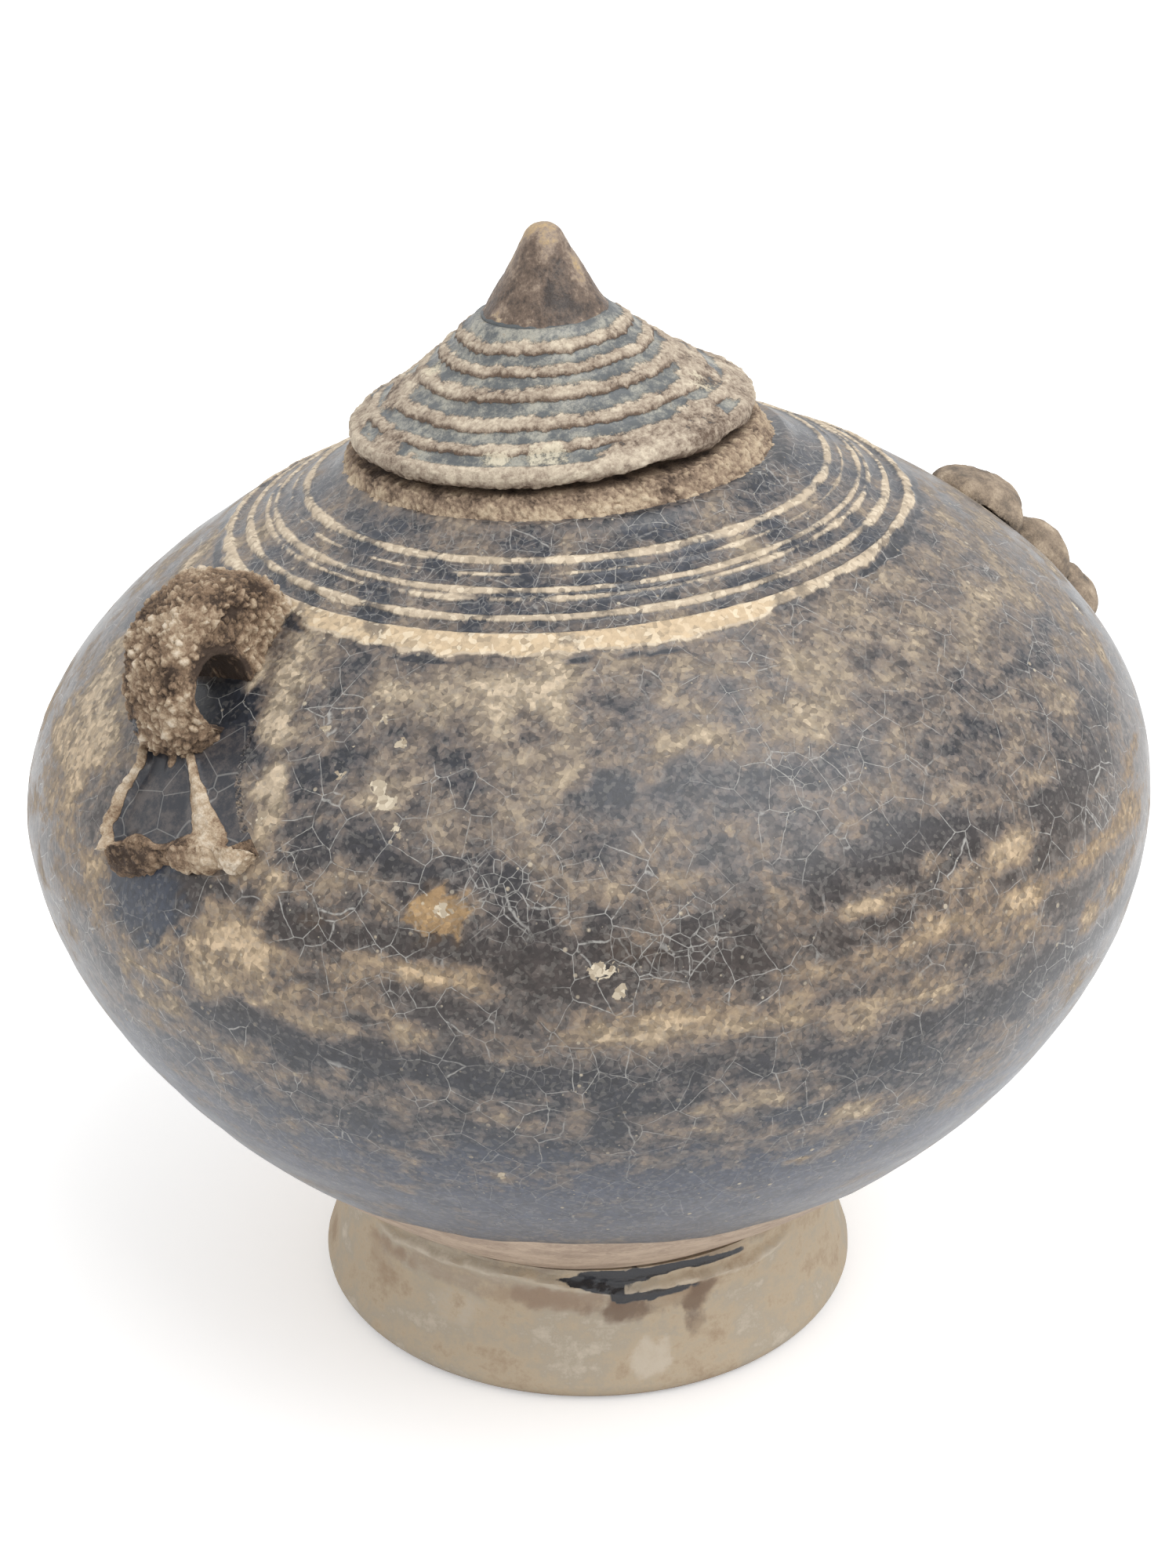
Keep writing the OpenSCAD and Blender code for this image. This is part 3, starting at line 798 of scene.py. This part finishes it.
footShape = dict(
    steps=400, row=0.35 * mm, edge=2 * mm, lip=0.45 * mm, waist=0.35 * mm, splay=14,
    crease=[  # angle and height
        (170, 13.2), (182, 12.9), (200, 13.3), (214, 13.6), (227, 13.1), (241, 12.2), (252, 12.5),
        (262, 12.4), (272, 12.0), (290, 12.6)],
    # marks as on the body
    streaks=[
        (229.6, 12.7, 2.6, 0.5, 1), (232.5, 12.8, 2.6, 0.85, 1), (235.5, 12.9, 3, 1, 1),
        (239, 13, 4, 0.95, 1), (246, 13.2, 4, 0.75, 1), (254, 13.4, 4, 0.5, 0.9), (263, 13.1, 4, 0.5, 0.9),
        (242, 11, 3, 0.65, 0.9), (249, 11.1, 4, 0.75, 0.9)],
    drips=[(238, 9.8, 1.4, 1.8, 0.5), (242, 9.6, 1.6, 1.7, 0.4), (256, 8.2, 1.4, 3.2, 0.6),
           (248, 10.2, 9, 1.6, 0.45), (259, 11, 1.4, 1.2, 0.5)],
    smears=[(208, 11.2, 14, 1.8, 0.5), (228, 10.8, 9, 1.6, 0.45), (180, 9, 4, 3, 0.4), (20, 10, 12, 2, 0.6),
            (95, 8, 9, 3, 0.5)],
    spots=[(245, 4.7, 2.6, 2.4, 0.9), (202, 8, 4, 2.5, 0.4), (60, 5, 4, 3, 0.6)],
)


def makeFoot():
    s = footShape
    r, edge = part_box("foot")[1].x, s["edge"]
    arc = [math.radians(i * 9) for i in range(11)]
    slant = Vector((math.cos(math.radians(s["splay"])), 0, 0.24)).normalized()
    rows = plain([(0, 0), (0.5 * r, 0), (r - 1.5 * edge, 0)])
    rows += plain([(r - edge * (1 - math.sin(a)), edge * (1 - math.cos(a))) for a in arc], 1, slant)
    steps = int((footTop - edge) / s["row"])
    for share in [i / steps for i in range(1, steps + 1)]:
        x = r + (footNeck - r) * share - s["waist"] * math.sin(math.pi * share)
        rows += plain([(x, edge + (footTop - edge) * share)], 1, (0.97, 0, 0.24))
    bm = spinRows(rows + plain([(0.5 * r, footTop), (0, footTop)]), s["steps"])
    out, skin, glazed, brown, smear, paleSpot = turnedLayers(bm, "glazed", "brown", "smear", "paleSpot")
    crease = s["crease"]
    start, end = crease[0][0], crease[-1][0]
    for v in bm.verts:
        if not v[skin]:
            continue
        p, turn, z = v.co.copy(), turnOf(v.co), v.co.z / mm
        lift = ease(0.2, 3.0, z) * (0.14 * mm * grit(p, 11, 2) + 0.05 * mm * grit(p, 2.4))
        at = between(crease, turn) - 0.8 + 0.25 * grit(p, 3)
        keep = ease(start, start + 12, turn) * ease(end, end - 12, turn)
        lift += keep * s["lip"] * (hump(z - at, 0.75) - 0.7 * hump(z - at - 1.0, 0.7))
        v.co += outwards(v, out) * lift
        v[paleSpot] += 0.7 * keep * hump(z - at, 0.7)
        # browner along the bottom edge, painted contact shadow with some dark clay, and browner at the top
        # under the body, painted shade with a brown smear
        v[brown] += 0.9 * ease(1.3, 0.2, z) + 0.5 * ease(12.8, 13.8, z + 0.5 * grit(p, 4))
    scatter(bm, [(glazed, 1.0, s["streaks"]), (brown, 1.0, s["drips"]), (smear, 1.0, s["smears"]),
                 (paleSpot, 1.0, s["spots"])], ragged=0.0)
    finishPiece("foot_clay", bm, "pot", "foot", [footClay], 50)


makeFoot()


# the collar and the lid stand on the mouth, which is tipped a little more than the body

mouthFrame = (Matrix.Translation(beltPoint) @ tipped(pot["leanTowards"], "Z") @ tipped(pot["lean"], "Y")
              @ Matrix.Translation((pot["mouthShift"], 0, pot["rise"]))
              @ tipped(pot["mouthTip"], "Y") @ tipped(-pot["leanTowards"], "Z"))
collarShape = dict(
    steps=560, top=2.0 * mm, r=19.8 * mm, bore=11.5 * mm, round=1.1 * mm, row=0.2 * mm, lidGap=0.3 * mm,
    crumb=0.85, deep=0.46 * mm, skirt=[(23.0, -1.7), (21.2, -0.9), (19.9, 0.0), (19.8, 0.9)],
)
lidFrame = mouthFrame @ Matrix.Translation((0, 0, collarShape["top"] + collarShape["lidGap"]))


def makeCollar():
    s = collarShape
    bore, top, bend = s["bore"], s["top"], s["round"]
    rows = plain([(bore, -1.5 * mm), (bore, 0), (bore, 0.8 * mm), (bore + 0.2 * mm, 1.5 * mm),
                  (bore + 0.8 * mm, top)], 2, (-1, 0, 0))
    rows += plain([(bore + x * mm, top) for x in (1.6, 2.6, 3.6, 4.6, 5.6, 6.4)], 2)
    for a in [math.radians(i * 15) for i in range(7)]:
        rows += plain([(s["r"] - bend * (1 - math.sin(a)), top - bend * (1 - math.cos(a)))],
                      1, (math.sin(a), 0, math.cos(a)))
    rows += walk([(x * mm, z * mm) for x, z in s["skirt"]], lambda p: s["row"])[-2::-1]
    rows += plain([(s["r"] + 2.4 * mm, -2.4 * mm), (bore, -1.9 * mm)])
    bm = spinRows(rows + rows[:1], s["steps"])
    out, skin, toneAndShade, glazed = turnedLayers(bm, "toneAndShade", "glazed")
    for v in bm.verts:
        p = v.co.copy()
        v[toneAndShade] = 0.45
        if v[skin] == 1:
            rough = 0.6 * crumbs(p, s["crumb"]) + 0.4 * crumbs(p, 0.55 * s["crumb"])
            coarse, band = grit(p, 4, 2), hump(p.z - 0.4 * mm, 1.4 * mm)
            v.co += outwards(v, out) * (s["deep"] * (rough - 0.55) + mm * (0.14 * coarse + 0.25 * band - 0.1))
            pits = hump(p.z + 1.0 * mm + 0.4 * mm * coarse, 0.5 * mm)
            # raised grains and the band lighter, a row of pits under the band darker: painted light and
            # shade, over the clay's tone
            v[toneAndShade] = 0.26 + 0.62 * rough + 0.22 * coarse + 0.16 * band - 0.3 * pits
            v[glazed] = 0.8 * ease(-1.1 * mm, -1.5 * mm, p.z + 0.5 * mm * grit(p, 2.4))
        elif v[skin] == 2:
            v.co.z -= 0.12 * mm * (1 + grit(p, 1.2)) if p.z > 1.6 * mm else 0
            v[toneAndShade] = 0.36 + 0.2 * grit(p, 1.6)
    bmesh.ops.transform(bm, matrix=mouthFrame, verts=bm.verts)
    finishPiece("mouth_collar_clay", bm, "pot", "mouth_collar", [collarClay], 60)


makeCollar()

lidShape = dict(
    steps=440, r=19.3 * mm, top=11.1 * mm, knobR=6.5 * mm, neck=18.1 * mm, neckZ=2.4 * mm,
    sag=0.5 * mm, row=0.16 * mm, rimCore=(1.3 * mm, 1.1 * mm),  # in from the edge, and up
    rim=[  # distance in from the edge, and height
        (1.7, 0.0), (1.1, 0.04), (0.6, 0.25), (0.2, 0.65), (0.0, 1.15), (0.05, 1.6), (0.3, 2.05),
        (0.75, 2.35)],
    ridges=[  # radius, half width above and below the crest, height
        (8.02, 0.5, 0.3, 0.36), (9.79, 0.5, 0.3, 0.42), (11.91, 0.75, 0.34, 0.5), (14.52, 0.8, 0.36, 0.5),
        (16.78, 0.55, 0.34, 0.4)],
    lastGroove=(17.9, 1.3), opening=217,  # radius, half width, and the angle at which it is open
    chips=[  # angle, half width in degrees, depth
        (262, 20, 0.55), (290, 14, 0.45), (242, 6, 0.2), (40, 12, 0.4), (118, 9, 0.35)],
    chalk=[  # angle, radius, half width, amount
        (158, 11, 1.6, 0.8), (304, 15.2, 2.2, 0.85), (232, 17.2, 2.6, 0.8), (216, 17.5, 1.8, 0.6),
        (250, 16, 2, 0.6), (20, 14, 2.2, 0.6), (90, 11, 1.8, 0.5)],
    worn=[  # angle, radius, half width
        (310, 14.5, 2.6), (335, 12, 2.6), (318, 12.5, 2), (286, 17.5, 2.4), (176, 18, 2), (150, 14, 2.4),
        (60, 13, 3)],
)


def ridgeShare(radius, turn):
    # (height, strength, tone) of the ridges at a distance from the axis; the tone falls on each ridge's lower
    # side as painted shade under its edge
    rise, mark, tone = 0.0, 0.0, 0.5
    x = radius / mm + 0.18 * roundNoise(turn, 2, radius * 150)
    x += 0.2 * roundNoise(turn, 16, radius * 400)
    for i, (middle, above, below, high) in enumerate(lidShape["ridges"]):
        d = x - middle
        share = ease(-2 * above, 0, d) if d < 0 else ease(2.2 * below, 0, d)
        keep = 0.8 + 0.5 * roundNoise(turn, 5, 4.0 * i)
        if high * keep * share > rise:
            rise, tone = high * keep * share, 0.58 if d < 0 else 0.58 - 0.5 * ease(0, 1.6 * below, d)
        mark = max(mark, ease(-2.0 * above, -0.2 * above, d) if d < 0 else ease(1.9 * below, 0.8 * below, d))
    return rise * mm, mark, tone


def lidGap(turn, radius, place, wide=1.0, tall=1.0):
    # how far a point of the cone is from a mark at (angle, radius), in millimetres
    around = math.radians(turnGap(turn, place[0])) * radius / mm
    return math.hypot(around * wide, (radius / mm - place[1]) * tall)


def dressCone(v, p, turn, normal, line, cream, tone):
    s, radius = lidShape, math.hypot(p.x, p.y)
    rise, v[line], v[tone] = ridgeShare(radius, turn)
    bits = crumbs(p, 0.8)
    # worn places, and the last groove, which is open at the front only
    places = [lidGap(turn, radius, mark, 1 / 1.6) / mark[2] for mark in s["worn"]]
    opened = ease(40, 24, abs(turnGap(turn, s["opening"]))) + ease(0.1, 0.4, grit(p, 12, 2))
    places.append(abs(radius / mm - s["lastGroove"][0]) / s["lastGroove"][1] + opened)
    for d in places:
        smooth = 0.85 * ease(1.1, 0.5, d + 0.3 * grit(p, 1.5))
        rise += (0.3 * mm - rise) * smooth
        v[line], v[tone] = max(v[line], smooth), v[tone] + (0.5 - v[tone]) * smooth
    v[tone] += 0.3 * (bits - 0.5)
    v.co += normal * (rise - 0.22 * mm + 0.1 * mm * (bits - 0.6) * (0.2 + v[line]))
    for mark in s["chalk"]:
        d = lidGap(turn, radius, mark, tall=1.5) / mark[2]
        v[cream] = max(v[cream], mark[3] * ease(1.2, 0.3, d + 0.4 * grit(p, 1.5)))


def dressRim(v, p, turn, normal, line, tone):
    low, bits = ease(1.2 * mm, 0.2 * mm, p.z), crumbs(p, 0.9)
    dull = 0.3 * hump(turnGap(turn, 290), 45) + 0.1 * hump(turnGap(turn, 185), 30)
    v[line], v[tone] = 1.0, 0.68 - 0.3 * low + 0.3 * (bits - 0.5) - dull
    wander = 6 * grit(p, 6)
    bite = max(deep * hump(turnGap(turn, t + wander), half) for t, half, deep in lidShape["chips"])
    v.co += normal * mm * (0.16 * (bits - 0.6) + 0.2 * grit(p, 4, 2) - 0.08)
    v.co.z = max(v.co.z, 0.0) + low * mm * bite


def makeLid():
    s = lidShape
    start, end = Vector((s["neck"], 0, s["neckZ"])), Vector((s["knobR"], 0, s["top"]))
    chord = end - start
    hollow = Vector((-chord.z, 0, chord.x)).normalized() * s["sag"] * 1.33
    handles = [start, start + chord / 3 + hollow, start + chord * 2 / 3 + hollow, end]
    cone = walk([(h.x, h.z) for h in handles], lambda p: s["row"])
    rim = [(s["r"] - x * mm, z * mm) for x, z in s["rim"]]
    coreIn, coreUp = s["rimCore"]
    edge = []
    for (x0, z0), (x1, z1) in zip(rim, rim[1:]):
        for k in range(3):
            x, z = x0 + (x1 - x0) * k / 3, z0 + (z1 - z0) * k / 3
            edge.append((Vector((x, 0, z)), Vector((x - s["r"] + coreIn, 0, z - coreUp)).normalized(), 2))
    under = plain([(0, 0), (6 * mm, 0), (12 * mm, 0), (s["r"] - 3 * mm, 0)])
    bm = spinRows(under + edge + cone + plain([(3 * mm, s["top"]), (0, s["top"])]), s["steps"])
    out, skin, line, cream, tone = turnedLayers(bm, "line", "cream", "tone")
    for v in bm.verts:
        p, turn, normal = v.co.copy(), turnOf(v.co), outwards(v, out)
        if v[skin] == 1:
            dressCone(v, p, turn, normal, line, cream, tone)
        elif v[skin] == 2:
            dressRim(v, p, turn, normal, line, tone)
        else:
            v[line], v[tone] = 1.0, 0.4
    bmesh.ops.transform(bm, matrix=lidFrame, verts=bm.verts)
    finishPiece("lid_ridged", bm, "lid", "lid", [lidGlaze], 60)


makeLid()

knobShape = dict(
    steps=240, base=6.1 * mm, sunk=0.25 * mm, tip=2.0 * mm, tipZ=6.3 * mm, capFrom=33, capRows=8,
    lean=3, shift=0.4 * mm, row=0.15 * mm, glazeTo=0.4,
    side=[(6.1, 0.0), (4.55, 2.1), (2.95, 5.2), (1.68, 7.39)],
)


def makeKnob():
    s = knobShape
    rows = walk([(x * mm, z * mm) for x, z in s["side"]], lambda p: s["row"])
    for i in range(1, s["capRows"] + 1):
        a = math.radians(s["capFrom"] + i * (90 - s["capFrom"]) / s["capRows"])
        up = Vector((math.cos(a), 0, math.sin(a)))
        rows.append((Vector((0, 0, s["tipZ"])) + up * s["tip"], up, 1))
    rows[-1][0].x = 0
    bm = spinRows(plain([(0, -0.3 * mm), (s["base"], -0.3 * mm)]) + rows, s["steps"])
    out, skin, tan, line, glazed = turnedLayers(bm, "tan", "line", "glazed")
    for v in bm.verts:
        p, turn, z = v.co.copy(), turnOf(v.co), v.co.z / mm
        if v[skin]:
            v.co += outwards(v, out) * mm * (0.12 * grit(p, 3, 2) + 0.04 * grit(p, 0.8))
            over = z + 0.45 * roundNoise(turn, 5, 2) - s["glazeTo"]  # height over the lid's glaze
            v[glazed] = ease(-0.1, -0.3, over)
            v[line] = 0.4 * hump(over - 0.1, 0.4)
            v[tan] = 0.38 + 0.24 * ease(3.5, 7.0, z)
            v[tan] -= 0.34 * hump(turnGap(turn, 236), 14) * hump(z - 2.8, 2.0)
    foot = Vector((0, 0, lidShape["top"] - s["sunk"])) - leanDir * s["shift"]
    place = lidFrame @ Matrix.Translation(foot) @ tipped(-s["lean"], leanAxis)
    bmesh.ops.transform(bm, matrix=place, verts=bm.verts)
    finishPiece("lid_knob_glazed", bm, "lid", "lid_knob", [knobGlaze], 60)


makeKnob()

flangeShape = dict(
    steps=160, r=10.7 * mm, wall=3 * mm, drop=5 * mm, round=0.7 * mm, sunk=0.2 * mm, bevel=0.25 * mm,
)


def makeFlange():
    s = flangeShape
    r, inner, low, bend = s["r"], s["r"] - s["wall"], -s["drop"], s["round"]
    points = [(inner, s["sunk"]), (inner, low + bend), (inner + bend, low), (r - bend, low), (r, low + bend),
              (r, s["sunk"])]
    bm = spinRows(plain(points + points[:1]), s["steps"])
    edges = [e for e in bm.edges if all(v.co.z < low + 1.2 * bend for v in e.verts)]
    bmesh.ops.bevel(bm, geom=edges, offset=s["bevel"], affect="EDGES", segments=2, profile=0.5, material=-1)
    for v in bm.verts:
        v.co += Vector((v.co.x, v.co.y, 0)).normalized() * 0.08 * mm * grit(v.co, 4, 2)
    bmesh.ops.transform(bm, matrix=lidFrame, verts=bm.verts)
    finishPiece("lid_flange_clay", bm, "lid", "lid_flange", [innerClay], 40)


makeFlange()
print("lid made")


# head, trunk and tail are lumps of clay pressed on to the wall

def copyNode(node, voxel):
    bm = bmesh.new()
    bm.from_mesh(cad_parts[node].data)
    bmesh.ops.remove_doubles(bm, verts=bm.verts, dist=1e-5)
    lump = addObject(node + "_rough", meshOf(bm, node + "_rough"))
    remesh = lump.modifiers.new("even", "REMESH")
    remesh.mode, remesh.voxel_size = "VOXEL", voxel
    even = bpy.data.meshes.new_from_object(lump.evaluated_get(bpy.context.evaluated_depsgraph_get()))
    found = bmesh.new()
    found.from_mesh(even)
    bpy.data.objects.remove(lump)
    bmesh.ops.smooth_vert(found, verts=found.verts, factor=0.5,
                          use_axis_x=True, use_axis_y=True, use_axis_z=True)
    return found


def seat(bm, sink):
    # the base of a lump goes a little way into the wall, so no gap shows round it
    for v in bm.verts:
        hit, normal = wall.find_nearest(v.co)[:2]
        high = (v.co - hit).dot(normal)
        v.co -= normal * sink * ease(2 * sink, 0, high)


def onShoulder(turn, share, slant=0.0):
    # the frame on the wall: Z outwards, X down the slope, Y round the pot
    fine = interpolate_bezier(*[Vector((x, 0, z - belt)) for x, z in shoulderCurve], 1001)
    i = round(share * 1000)
    along = fine[i + 1] - fine[i - 1]
    tilt = Matrix.Rotation(math.atan2(along.z, -along.x), 4, "Y")
    return (Matrix.Translation(beltPoint) @ leanTurn(1).to_4x4() @ tipped(turn, "Z")
            @ Matrix.Translation(fine[i]) @ tilt @ tipped(slant, "Z"))


headShape = dict(
    voxel=0.2 * mm, turn=180, share=0.618, slant=16, lumps=0.38, crumb=0.85, deep=0.48, sink=0.5 * mm,
    eye=(2.7, 2.9), eyeR=2.4, eyeWider=0.6, eyeLonger=1.25, eyeSag=(0.35, 0, -0.6),
    glazeSpots=[(5.6, 1.0, 4.6, 1.5), (7.6, -2.5, 3.0, 1.2)],
)


def makeHead():
    s = headShape
    bm = copyNode("head_lug", s["voxel"])
    toneAndShade, glazed = paintLayers(bm, "toneAndShade", "glazed")
    place = onShoulder(s["turn"], s["share"], s["slant"])
    home = place.inverted()
    eyeX, eyeZ = s["eye"]
    bm.normal_update()
    for v in bm.verts:
        p, q = v.co.copy(), home @ v.co / mm
        coarse, fine, grains = grit(p, 2.8, 2), grit(p, 0.5, 2), crumbs(p, s["crumb"])
        # the cord hole is worn wide, down to the glaze of the wall
        away = Vector((q.x - eyeX, 0, q.z - eyeZ))
        far = away.length
        near = ease(s["eyeR"] + 1.8, s["eyeR"], far)
        worn = away.normalized() * s["eyeWider"] * near if far > 0.1 else Vector()
        worn.x *= s["eyeLonger"]
        worn += Vector(s["eyeSag"]) * ease(5.5, s["eyeR"], far)
        # grains and lumps lighter and the cord hole darker: painted light and shade, over the clay's tone
        v[toneAndShade] = 0.24 + 0.46 * grains + 0.24 * coarse + 0.22 * grit(p, 5, 2)
        v[toneAndShade] += 0.08 * ease(5, 9, q.length) - 0.25 * near
        v[glazed] = 0.5 * ease(0.8, 0.1, q.z)
        for x, y, z, size in s["glazeSpots"]:
            v[glazed] = max(v[glazed], 0.8 * ease(1.3, 0.6, (q - Vector((x, y, z))).length / size))
        quiet = 1 - 0.7 * near
        v.co += v.normal * mm * quiet * (s["lumps"] * coarse + s["deep"] * (grains - 0.6) + 0.14 * fine)
        v.co += place.to_3x3() @ worn * mm
    seat(bm, s["sink"])
    finishPiece("head_lug_clay", bm, "pot", "head_lug", [headClay], 0)


makeHead()

trunkShape = dict(
    across=96, down=76, turn=188.5, share=0.395, slant=16, above=9, length=9.4, tuck=2.4, topW=9.0, endW=17.0,
    floor=0.7, rim=1.3, ridge=0.8, tongue=0.5, heel=1.0, sink=0.8,
    left=[(-7.1, 7.4), (-5.6, 7.2), (-2.9, 6.8), (0.3, 8.3), (2.6, 9.2), (4.7, 8.4)],
)


def trunkHalf(x):
    share = min(max(x / trunkShape["length"] + 0.5, 0), 1)
    return (trunkShape["topW"] + (trunkShape["endW"] - trunkShape["topW"]) * share ** 2) / 2


def trunkForms(x, y):
    # (left rim, middle ridge, tongue, heel) of the fan, each from 0 to 1
    lower = ease(-3, 4.7, x)
    rim = hump(y + between(trunkShape["left"], x) - 0.5, 0.8 + 1.2 * lower)
    ridge = hump(y - min(-0.9 + 0.6 * (x + 3.6), 3.4), 0.9 + 2.6 * lower) * ease(-6, -3, x)
    tongue = hump(y + 3, 0.9) * ease(-1.5, -4, x)
    return rim, ridge, tongue, ease(3.0, 4.6, x + 0.5 * math.sin(y))


def makeTrunk():
    s = trunkShape
    place = onShoulder(s["turn"], s["share"], s["slant"])
    inwards = place.to_3x3() @ Vector((0, 0, -1))
    bm = bmesh.new()
    bmesh.ops.create_grid(bm, x_segments=s["down"], y_segments=s["across"], size=1)
    toneAndShade, glazed = paintLayers(bm, "toneAndShade", "glazed")
    grown = bmesh.ops.extrude_face_region(bm, geom=bm.faces[:], use_keep_orig=True)["geom"]
    top = {g for g in grown if isinstance(g, bmesh.types.BMVert)}
    for v in bm.verts:
        side = v.co.y
        x = (s["length"] + s["tuck"]) * (v.co.x + 1) / 2 - s["length"] / 2 - s["tuck"]
        left, right = between(s["left"], x), trunkHalf(x)
        y = (left + right) * (side + 1) / 2 - left
        hit, normal = wall.ray_cast(place @ (Vector((x, y, s["above"])) * mm), inwards)[:2]
        rim, ridge, tongue, heel = trunkForms(x, y)
        fine, grains = grit(hit, 0.8, 3), crumbs(hit, 0.8)
        slope = ease(0.9, -0.4, side)
        high = slope * s["floor"] + s["rim"] * rim + s["ridge"] * ridge + s["tongue"] * tongue
        high += heel * s["heel"] * (0.35 + 0.65 * slope)
        raised = max(rim, ridge, tongue, heel)
        high = (high + raised * (0.1 * fine + 0.2 * (grains - 0.8))) * ease(1.0, 0.97, abs(side))
        v.co = hit + normal * mm * (high if v in top else -s["sink"])
        # the raised rim and ridge lighter: painted light on the raised forms, with the clay's grain
        v[toneAndShade] = 0.4 + 0.2 * fine + 0.16 * grains + 0.28 * rim + 0.26 * ridge - 0.1 * heel
        v[glazed] = ease(0.62, 0.25, raised + 0.14 * grit(hit, 1.4))
    bmesh.ops.recalc_face_normals(bm, faces=bm.faces)
    finishPiece("trunk_fan", bm, "pot", "trunk", [headClay], 60)


makeTrunk()


def makeLump(name, node, material, shade, voxel=0.3 * mm, lumps=0.4, grains=0.06, sink=0.5 * mm,
             lobes=None, corner=0.0):
    bm = copyNode(node, voxel)
    toneAndShade = paintLayers(bm, "toneAndShade", "glazed")[0]
    if lobes:
        # the roll is pinched into lobes along its axis, the left one darker
        place = onShoulder(trunkShape["turn"], trunkShape["share"], trunkShape["slant"])
        home, axis = place.inverted(), trunkShape["length"] / 2
        for v in bm.verts:
            q = home @ v.co / mm
            thick = between(lobes, q.y)
            # where the roll is pinched the colour darkens: painted shade in the creases
            v[toneAndShade] = 0.26 * ease(-2.5, 0, q.y) + 0.2 * ease(3, 8, q.y) - 0.2 * (1 - thick)
            v.co = place @ (Vector((axis + (q.x - axis) * thick, q.y, q.z * thick)) * mm)
    middle = sum((v.co for v in bm.verts), Vector()) / len(bm.verts)
    normal = wall.find_nearest(middle)[1]
    down = normal.cross(normal.cross(Vector((0, 0, 1)))).normalized()
    size = max((v.co - middle).length for v in bm.verts)
    bm.normal_update()
    for v in bm.verts:
        p = v.co.copy()
        # folds run down the tail, and its root is full on the lower side
        low, high = (p - middle).dot(down) / size, (p - middle).dot(normal) / size
        v.co += (normal + 0.5 * down) * 4 * corner * max(low, 0) * max(high + 0.2, 0)
        fold = grit(p - 0.75 * down * (p - middle).dot(down), 1.6, 2)
        v[toneAndShade] += 0.0 if lobes else 0.3 * fold
        coarse, fine, bits = grit(p, 3.2, 2), grit(p, 0.9, 3), crumbs(p, 0.9)
        # raised lumps and grains lighter: painted light, over the clay's tone and folds
        v[toneAndShade] += shade + 0.12 * fine + 0.16 * coarse + grains * (bits - 0.6)
        v.co += v.normal * mm * (lumps * coarse + grains * (bits - 0.6))
    seat(bm, sink)
    finishPiece(name, bm, "pot", node, [material], 0)


lumpShapes = [
    dict(name="trunk_heel", node="trunk_roll", material=headClay, shade=0.38,
         voxel=0.22 * mm, lumps=0.25, grains=0.3,
         lobes=[(-8.5, 1.0), (-6.0, 1.0), (-3.6, 0.95), (-1.7, 0.5), (-0.8, 0.5), (0.6, 0.85), (3.5, 0.9),
                (5.2, 0.7), (6.6, 0.85), (8.5, 0.5)]),
    dict(name="tail_root_clay", node="tail_root", material=tailClay, shade=0.5, corner=0.6 * mm),
    dict(name="tail_middle_clay", node="tail_middle", material=tailClay, shade=0.5),
    dict(name="tail_tip_clay", node="tail_tip", material=tailClay, shade=0.48),
]
for lump in lumpShapes:
    makeLump(**lump)
print("head, trunk and tail made")


# floor, light and camera

studio = dict(
    floorSize=6.0, floorShade=0.86, floorGlow=0.32, sky=0.98, seenSky=1.0,
    lampSize=0.9, lampPower=7.0, lampPlace=(0.12, -0.5, 0.95),
    eye=(-0.1619, -0.2072, 0.1815), tilt=64.3, pan=-38.0, view=30.0, clip=(0.01, 50),
)


def seenShare():
    # 1 for what the camera sees, straight or in gloss
    path = put("LightPath").outputs
    return most(path["Is Camera Ray"], most(path["Is Glossy Ray"], path["Is Transmission Ray"]))


def makeFloor():
    bm = bmesh.new()
    bmesh.ops.create_grid(bm, x_segments=2, y_segments=2, size=studio["floorSize"])
    floor = addObject("floor", meshOf(bm, "floor"))
    material, shader, coords = startMaterial("floor_white")
    shade = studio["floorShade"]
    for socket, value in (("Base Color", (shade, shade, shade, 1)), ("Roughness", 0.9),
                          ("Specular IOR Level", 0.0), ("Emission Color", (1, 1, 1, 1))):
        shader.inputs[socket].default_value = value
    inHand["tree"].links.new(times(seenShare(), studio["floorGlow"]), shader.inputs["Emission Strength"])
    floor.data.materials.append(material)


def makeLight():
    world = bpy.data.worlds.new("studio")
    world.use_nodes = True
    inHand["tree"] = world.node_tree
    sky = world.node_tree.nodes["Background"]
    sky.inputs["Color"].default_value = (1, 1, 1, 1)
    glow = scaled(seenShare(), studio["seenSky"] - studio["sky"], studio["sky"])
    world.node_tree.links.new(glow, sky.inputs["Strength"])
    bpy.context.scene.world = world
    lamp = bpy.data.lights.new("softbox", "AREA")
    lamp.size, lamp.energy = studio["lampSize"], studio["lampPower"]
    box = addObject("softbox", lamp)
    box.location = studio["lampPlace"]
    box.rotation_euler = (beltPoint - box.location).to_track_quat("-Z", "Y").to_euler()


def makeCamera():
    eye = bpy.data.cameras.new("eye")
    eye.angle = math.radians(studio["view"])
    camera = addObject("eye", eye)
    camera.location = studio["eye"]
    camera.rotation_euler = (math.radians(studio["tilt"]), 0, math.radians(studio["pan"]))
    eye.clip_start, eye.clip_end = studio["clip"]
    bpy.context.scene.camera = camera


makeFloor()
makeLight()
makeCamera()
bpy.context.scene.view_settings.view_transform = "Standard"
print("studio set")
